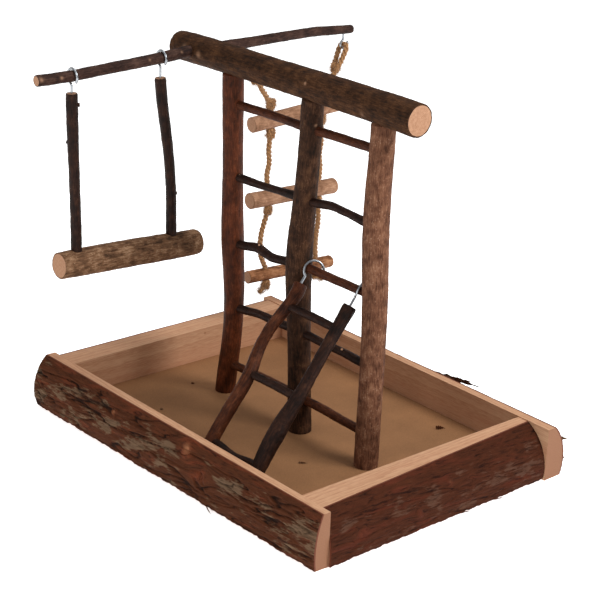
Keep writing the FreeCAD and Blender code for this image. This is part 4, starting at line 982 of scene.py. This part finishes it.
class PLAYSTAND_OT_rope_ladder(bpy.types.Operator):
    """Lays the ropes of the rope ladder with their knots and stray fibres"""
    bl_idname = "playstand.rope_ladder"
    bl_label = "Rope Ladder"

    def execute(self, context):
        looks = context.scene.rope_looks
        knots = {key: self.tie(looks, *group) for key, group in KNOTS.items()}
        for number, (stretch, side) in enumerate(ROPES):
            node = f"rope_{stretch}_{side}"
            points = [rope_point(stretch, side, each) for each in range(len(ROPES[stretch, side]))]
            chain = spline_mesh(node, points)
            rope = lay_rope(node + "_jute", chain, looks.strand, looks.lay, number)
            dress(rope, node)
            fuzz = fray(node + "_fibres", rope, looks.fibres, looks.fibre, number)
            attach(fuzz, BODY_OF[node])
            extra = [fuzz]
            if side == "inner":
                extra += [knots[stretch]] + ([knots["loop"]] if stretch == "upper" else [])
        return {"FINISHED"}

    def tie(self, looks, node, stretch, places, radius):
        """Tight overhand knots of one node, with frayed tails on the lowest ones."""
        parts = []
        for number, (side, spots) in enumerate((side, spots) for spots in places for side in ROPE_ORIGIN):
            center = sum(rope_point(stretch, side, spot) for spot in spots) / len(spots)
            strand = 0.85 * looks.strand
            knot = lay_rope(f"{node}_{number}", knot_mesh(center, radius, 2 * strand, number * 1.3), strand,
                            0.7 * looks.lay, number)
            parts += [knot, fray(f"{node}_fray_{number}", knot, 1.5 * looks.fibres, looks.fibre, number)]
            if stretch == "lower":
                way = -1 if side == "inner" else 1
                tail = spline_mesh("tail", [center, center + np.array((0.001, way * 0.004, -0.003)),
                                            center + np.array((0.002, way * 0.009, -0.0065))])
                tail = lay_rope(f"{node}_tail_{number}", tail, strand, looks.lay, number)
                name = f"{node}_tail_fray_{number}"
                parts += [tail, fray(name, tail, 6 * looks.fibres, looks.fibre, number)]
        return dress(joined(node + "_jute", parts), node)


class PLAYSTAND_OT_slabs(bpy.types.Operator):
    """Cuts the four bark slabs of the tray, with their loose splinters"""
    bl_idname = "playstand.slabs"
    bl_label = "Bark Slabs"

    def execute(self, context):
        looks = context.scene.tray_looks
        plated = shared("plated bark", lambda: slab_bark(
            "plated pine bark", list(looks.grey), list(looks.brown), list(looks.red), list(looks.fissure_and_shade),
            0.03))
        flowing = slab_bark("flowing pine bark", linear("#4e3326"), linear("#412011"), linear("#4f2416"),
                            linear("#140805"), 0.0)
        along_x, along_y, front, rear, left, right = 0, 1, -1, 1, -1, 1
        cut_slab("front_slab", along_x, front, plated, relief=1.0, width=7.0, stretch=6.0, plates=0.8,
                 slant=-0.06, knots=[((29.6, -142.6, 42), 7.5, 2.8, 0.8),
                                     ((-76.7, -146.1, 38.1), 3.5, 1.2, 0.5)],
                 swirls=[(30, 40, 13), (54, 25, 16), (-77, 37, 6)])
        cut_slab("rear_slab", along_x, rear, plated, relief=1.0, width=7.0, stretch=6.0, plates=0.75)
        cut_slab("right_slab", along_y, right, flowing, relief=0.9, width=5.0, stretch=11.0, plates=0.4,
                 slant=0.04, knots=[((195.4, 11, 32.5), 3.5, 1.0, 0.1), ((200.7, -28.4, 18.5), 4, 1.0, 0.0),
                                    ((197.8, -92.4, 32.9), 3.5, 0.8, 0.0)],
                 swirls=[(-95, 20, 13), (11, 32, 7), (36, 26, 7), (-28, 18, 9)])
        cut_slab("left_slab", along_y, left, flowing, relief=0.9, width=5.0, stretch=9.0, plates=0.4,
                 knots=[((-168.5, 27.5, 43.8), 2.4, 0.0, 0.9)])
        splinters("rear_splinters", "rear_slab", plated, [
            ((40, 141, 45.5), (68, 148, 47), (96, 154, 46), 4),
            ((52, 142.5, 44.5), (68, 149, 46.5), (84, 154, 48), 3.5),
            ((192, 147, 36), (198, 150.5, 35), (203, 153.5, 36), 3),
            ((192, 149, 20), (198, 151, 18), (202, 154, 15), 3)])
        splinters("right_splinters", "right_slab", flowing, [
            ((196, 8, 2.2), (199, 22, 1.4), (203, 34, 1.1), 2),
            ((196, 50, 2.4), (199, 64, 1.6), (203, 76, 1.1), 2)])
        splinters("front_splinters", "front_slab", plated, [
            ((60, -146, 2.6), (68, -150, 1.9), (76, -152, 1.3), 2)])
        return {"FINISHED"}


def refinish(material, *nodes):
    """Gives frame nodes that keep their shape a finish."""
    for node in nodes:
        mesh = frame["nodes"][node].data
        mesh.materials.clear()
        mesh.materials.append(material)


class PLAYSTAND_OT_floor_panel(bpy.types.Operator):
    """Finishes the fibreboard floor of the tray and scatters a few crumbs of bark on it"""
    bl_idname = "playstand.floor_panel"
    bl_label = "Floor Panel"

    def execute(self, context):
        refinish(shared("fibreboard", board_finish), "floor_panel")
        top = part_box("floor_panel")[1][2] / MM
        # Each crumb's place, reach and width.
        crumbs = ((67.5, -48.5, 6, 1.4), (88.5, 101, 6.5, 2.8), (-126, -21, 2.6, 1.2),
                  (-94.5, -81, 2.2, 1.4), (20, 70, 1.8, 1.0), (118, 30, 1.8, 1.0))
        shapes = [((x, y, top + wide / 2), (x + reach / 2, y + reach / 3, top + wide),
                   (x + reach, y + reach, top + wide / 2), wide) for x, y, reach, wide in crumbs]
        splinters("floor_crumbs", "floor_panel", MADE["plated bark"], shapes)
        return {"FINISHED"}


class PLAYSTAND_OT_frame(bpy.types.Operator):
    """Grows the three posts, the top beam and the cross arm"""
    bl_idname = "playstand.frame"
    bl_label = "Posts and Beams"

    def execute(self, context):
        grow("left_post", "smooth red brown bark", relief=0.7, width=3.0, stretch=8.0, neck=2.2)
        grow("middle_post", "dark brown bark", relief=1.0, width=2.5, stretch=5.0, neck=2.2,
             knots=[((23.2, -6.1, 307.9), 2.2, 0.6, 0.7)])
        grow("right_post", "speckled red brown bark", relief=0.9, width=2.2, stretch=5.0, neck=2.2,
             knots=[((112.4, -11.1, 48.7), 4, 0.8, 0.15)])
        grow("top_beam", "olive brown bark", relief=1.1, width=3.5, stretch=5.0,
             knots=[((-153, -15, 342), 7, -0.4, 0.45), ((-131, -16.3, 340), 6, -0.4, 0.5),
                    ((18.4, -15.4, 344.8), 2.6, 0.7, 0.8), ((89.9, -14.9, 333.5), 6, -0.3, 0.3)])
        grow("cross_arm", "purple brown bark", relief=0.8, width=2.0, stretch=5.0,
             knots=[((-141, -177, 335), 4, 0.0, 0.7), ((-140, -156.5, 334.4), 3, -0.3, 0.6),
                    ((-140.1, -63.1, 338.8), 2.5, -0.3, 0.5), ((-140.1, -27.4, 341.9), 2.5, -0.3, 0.5),
                    ((-141, 118, 347), 3, 1.2, 0.3)])
        return {"FINISHED"}


class PLAYSTAND_OT_rungs(bpy.types.Operator):
    """Grows the ten rungs of the frame"""
    bl_idname = "playstand.rungs"
    bl_label = "Frame Rungs"

    def execute(self, context):
        browns = {("left", 1), ("left", 5), ("right", 1), ("right", 3), ("right", 5)}
        stubs = {("right", 2): [(0.62, (0.5, -0.5, 0.7), 1.8, 1.5)],
                 ("left", 3): [(0.4, (0.4, -0.3, 0.8), 0.8, 1.6)],
                 ("left", 4): [(0.12, (-0.4, -0.4, 0.8), 0.8, 1.7)]}
        for bay in ("left", "right"):
            for number in range(1, 6):
                material = "red twig bark" if (bay, number) in browns else "black bark"
                grow(f"{bay}_rung_{number}", material, relief=0.7, width=2.2, stretch=4.0,
                     stubs=stubs.get((bay, number), ()), soften=0.012)
        return {"FINISHED"}


class PLAYSTAND_OT_swing(bpy.types.Operator):
    """Grows the log and side rods of the swing"""
    bl_idname = "playstand.swing"
    bl_label = "Swing"

    def execute(self, context):
        grow("swing_log", "mottled grey bark", relief=1.0, width=3.0, stretch=4.0)
        grow("swing_rod_front", "black bark", relief=0.9, width=2.4, stretch=4.0,
             stubs=[(0.93, (0.6, 0.8, 0.1), 1.2, 1.9), (0.71, (-0.7, -0.7, 0.2), 0.8, 1.9)])
        grow("swing_rod_back", "black bark", relief=0.9, width=2.4, stretch=4.0,
             stubs=[(0.3, (0.5, 0.6, 0.3), 0.6, 1.9)])
        return {"FINISHED"}


class PLAYSTAND_OT_ladder(bpy.types.Operator):
    """Grows the lean-to ladder's stiles and rungs"""
    bl_idname = "playstand.ladder"
    bl_label = "Lean-to Ladder"

    def execute(self, context):
        grow("ladder_stile_left", "red twig bark", relief=1.0, width=2.4, stretch=4.0)
        grow("ladder_stile_right", "black bark", relief=1.0, width=2.6, stretch=4.0,
             knots=[((92.4, -91.6, 63.5), 6, 1.2, 0.0)])
        for number in (1, 2, 3):
            grow(f"ladder_rung_{number}", "black bark", relief=0.7, width=2.0, stretch=4.0, soften=0.008)
        return {"FINISHED"}


class PLAYSTAND_OT_perches(bpy.types.Operator):
    """Grows the three perches of the rope ladder"""
    bl_idname = "playstand.perches"
    bl_label = "Perches"

    def execute(self, context):
        for number, material in ((1, "pale grey bark"), (2, "pale grey bark"), (3, "ridged tan bark")):
            grow(f"rope_perch_{number}", material, relief=0.6, width=2.5, stretch=6.0)
        return {"FINISHED"}


class PLAYSTAND_OT_metal(bpy.types.Operator):
    """Finishes the hooks, nails, screws and dowels"""
    bl_idname = "playstand.metal"
    bl_label = "Hooks and Fasteners"

    def execute(self, context):
        refinish(shared("zinc", zinc_finish), "swing_hook_front", "swing_hook_back", "ladder_hook_left",
                 "ladder_hook_right", "inner_rope_hook", "outer_rope_hook", "corner_nails", "floor_nails",
                 "post_screws")
        refinish(shared("fibreboard", board_finish), "beam_dowels")
        return {"FINISHED"}


OPERATORS = (PLAYSTAND_OT_stage, PLAYSTAND_OT_rope_ladder, PLAYSTAND_OT_slabs, PLAYSTAND_OT_floor_panel,
             PLAYSTAND_OT_frame, PLAYSTAND_OT_rungs, PLAYSTAND_OT_swing, PLAYSTAND_OT_ladder,
             PLAYSTAND_OT_perches, PLAYSTAND_OT_metal)
LOOKS = {"tray_looks": TrayLooks, "branch_looks": BranchLooks, "rope_looks": RopeLooks}


class PLAYSTAND_PT_panel(bpy.types.Panel):
    """Sizes, colours and the steps that make the stand"""
    bl_label = "Play Stand"
    bl_idname = "PLAYSTAND_PT_panel"
    bl_space_type = "VIEW_3D"
    bl_region_type = "UI"
    bl_category = "Play Stand"

    def draw(self, context):
        for name, looks in LOOKS.items():
            for each in looks.__annotations__:
                self.layout.prop(getattr(context.scene, name), each)
        for operator in OPERATORS:
            self.layout.operator(operator.bl_idname)


CLASSES = (*LOOKS.values(), *OPERATORS, PLAYSTAND_PT_panel)


def register():
    for each in CLASSES:
        bpy.utils.register_class(each)
    for name, looks in LOOKS.items():
        setattr(bpy.types.Scene, name, PointerProperty(type=looks))


def unregister():
    for name in LOOKS:
        delattr(bpy.types.Scene, name)
    for each in reversed(CLASSES):
        bpy.utils.unregister_class(each)


def main():
    """Registers the add-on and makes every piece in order."""
    register()
    for operator in OPERATORS:
        group, name = operator.bl_idname.split(".")
        getattr(getattr(bpy.ops, group), name)()


if __name__ == "__main__":
    main()
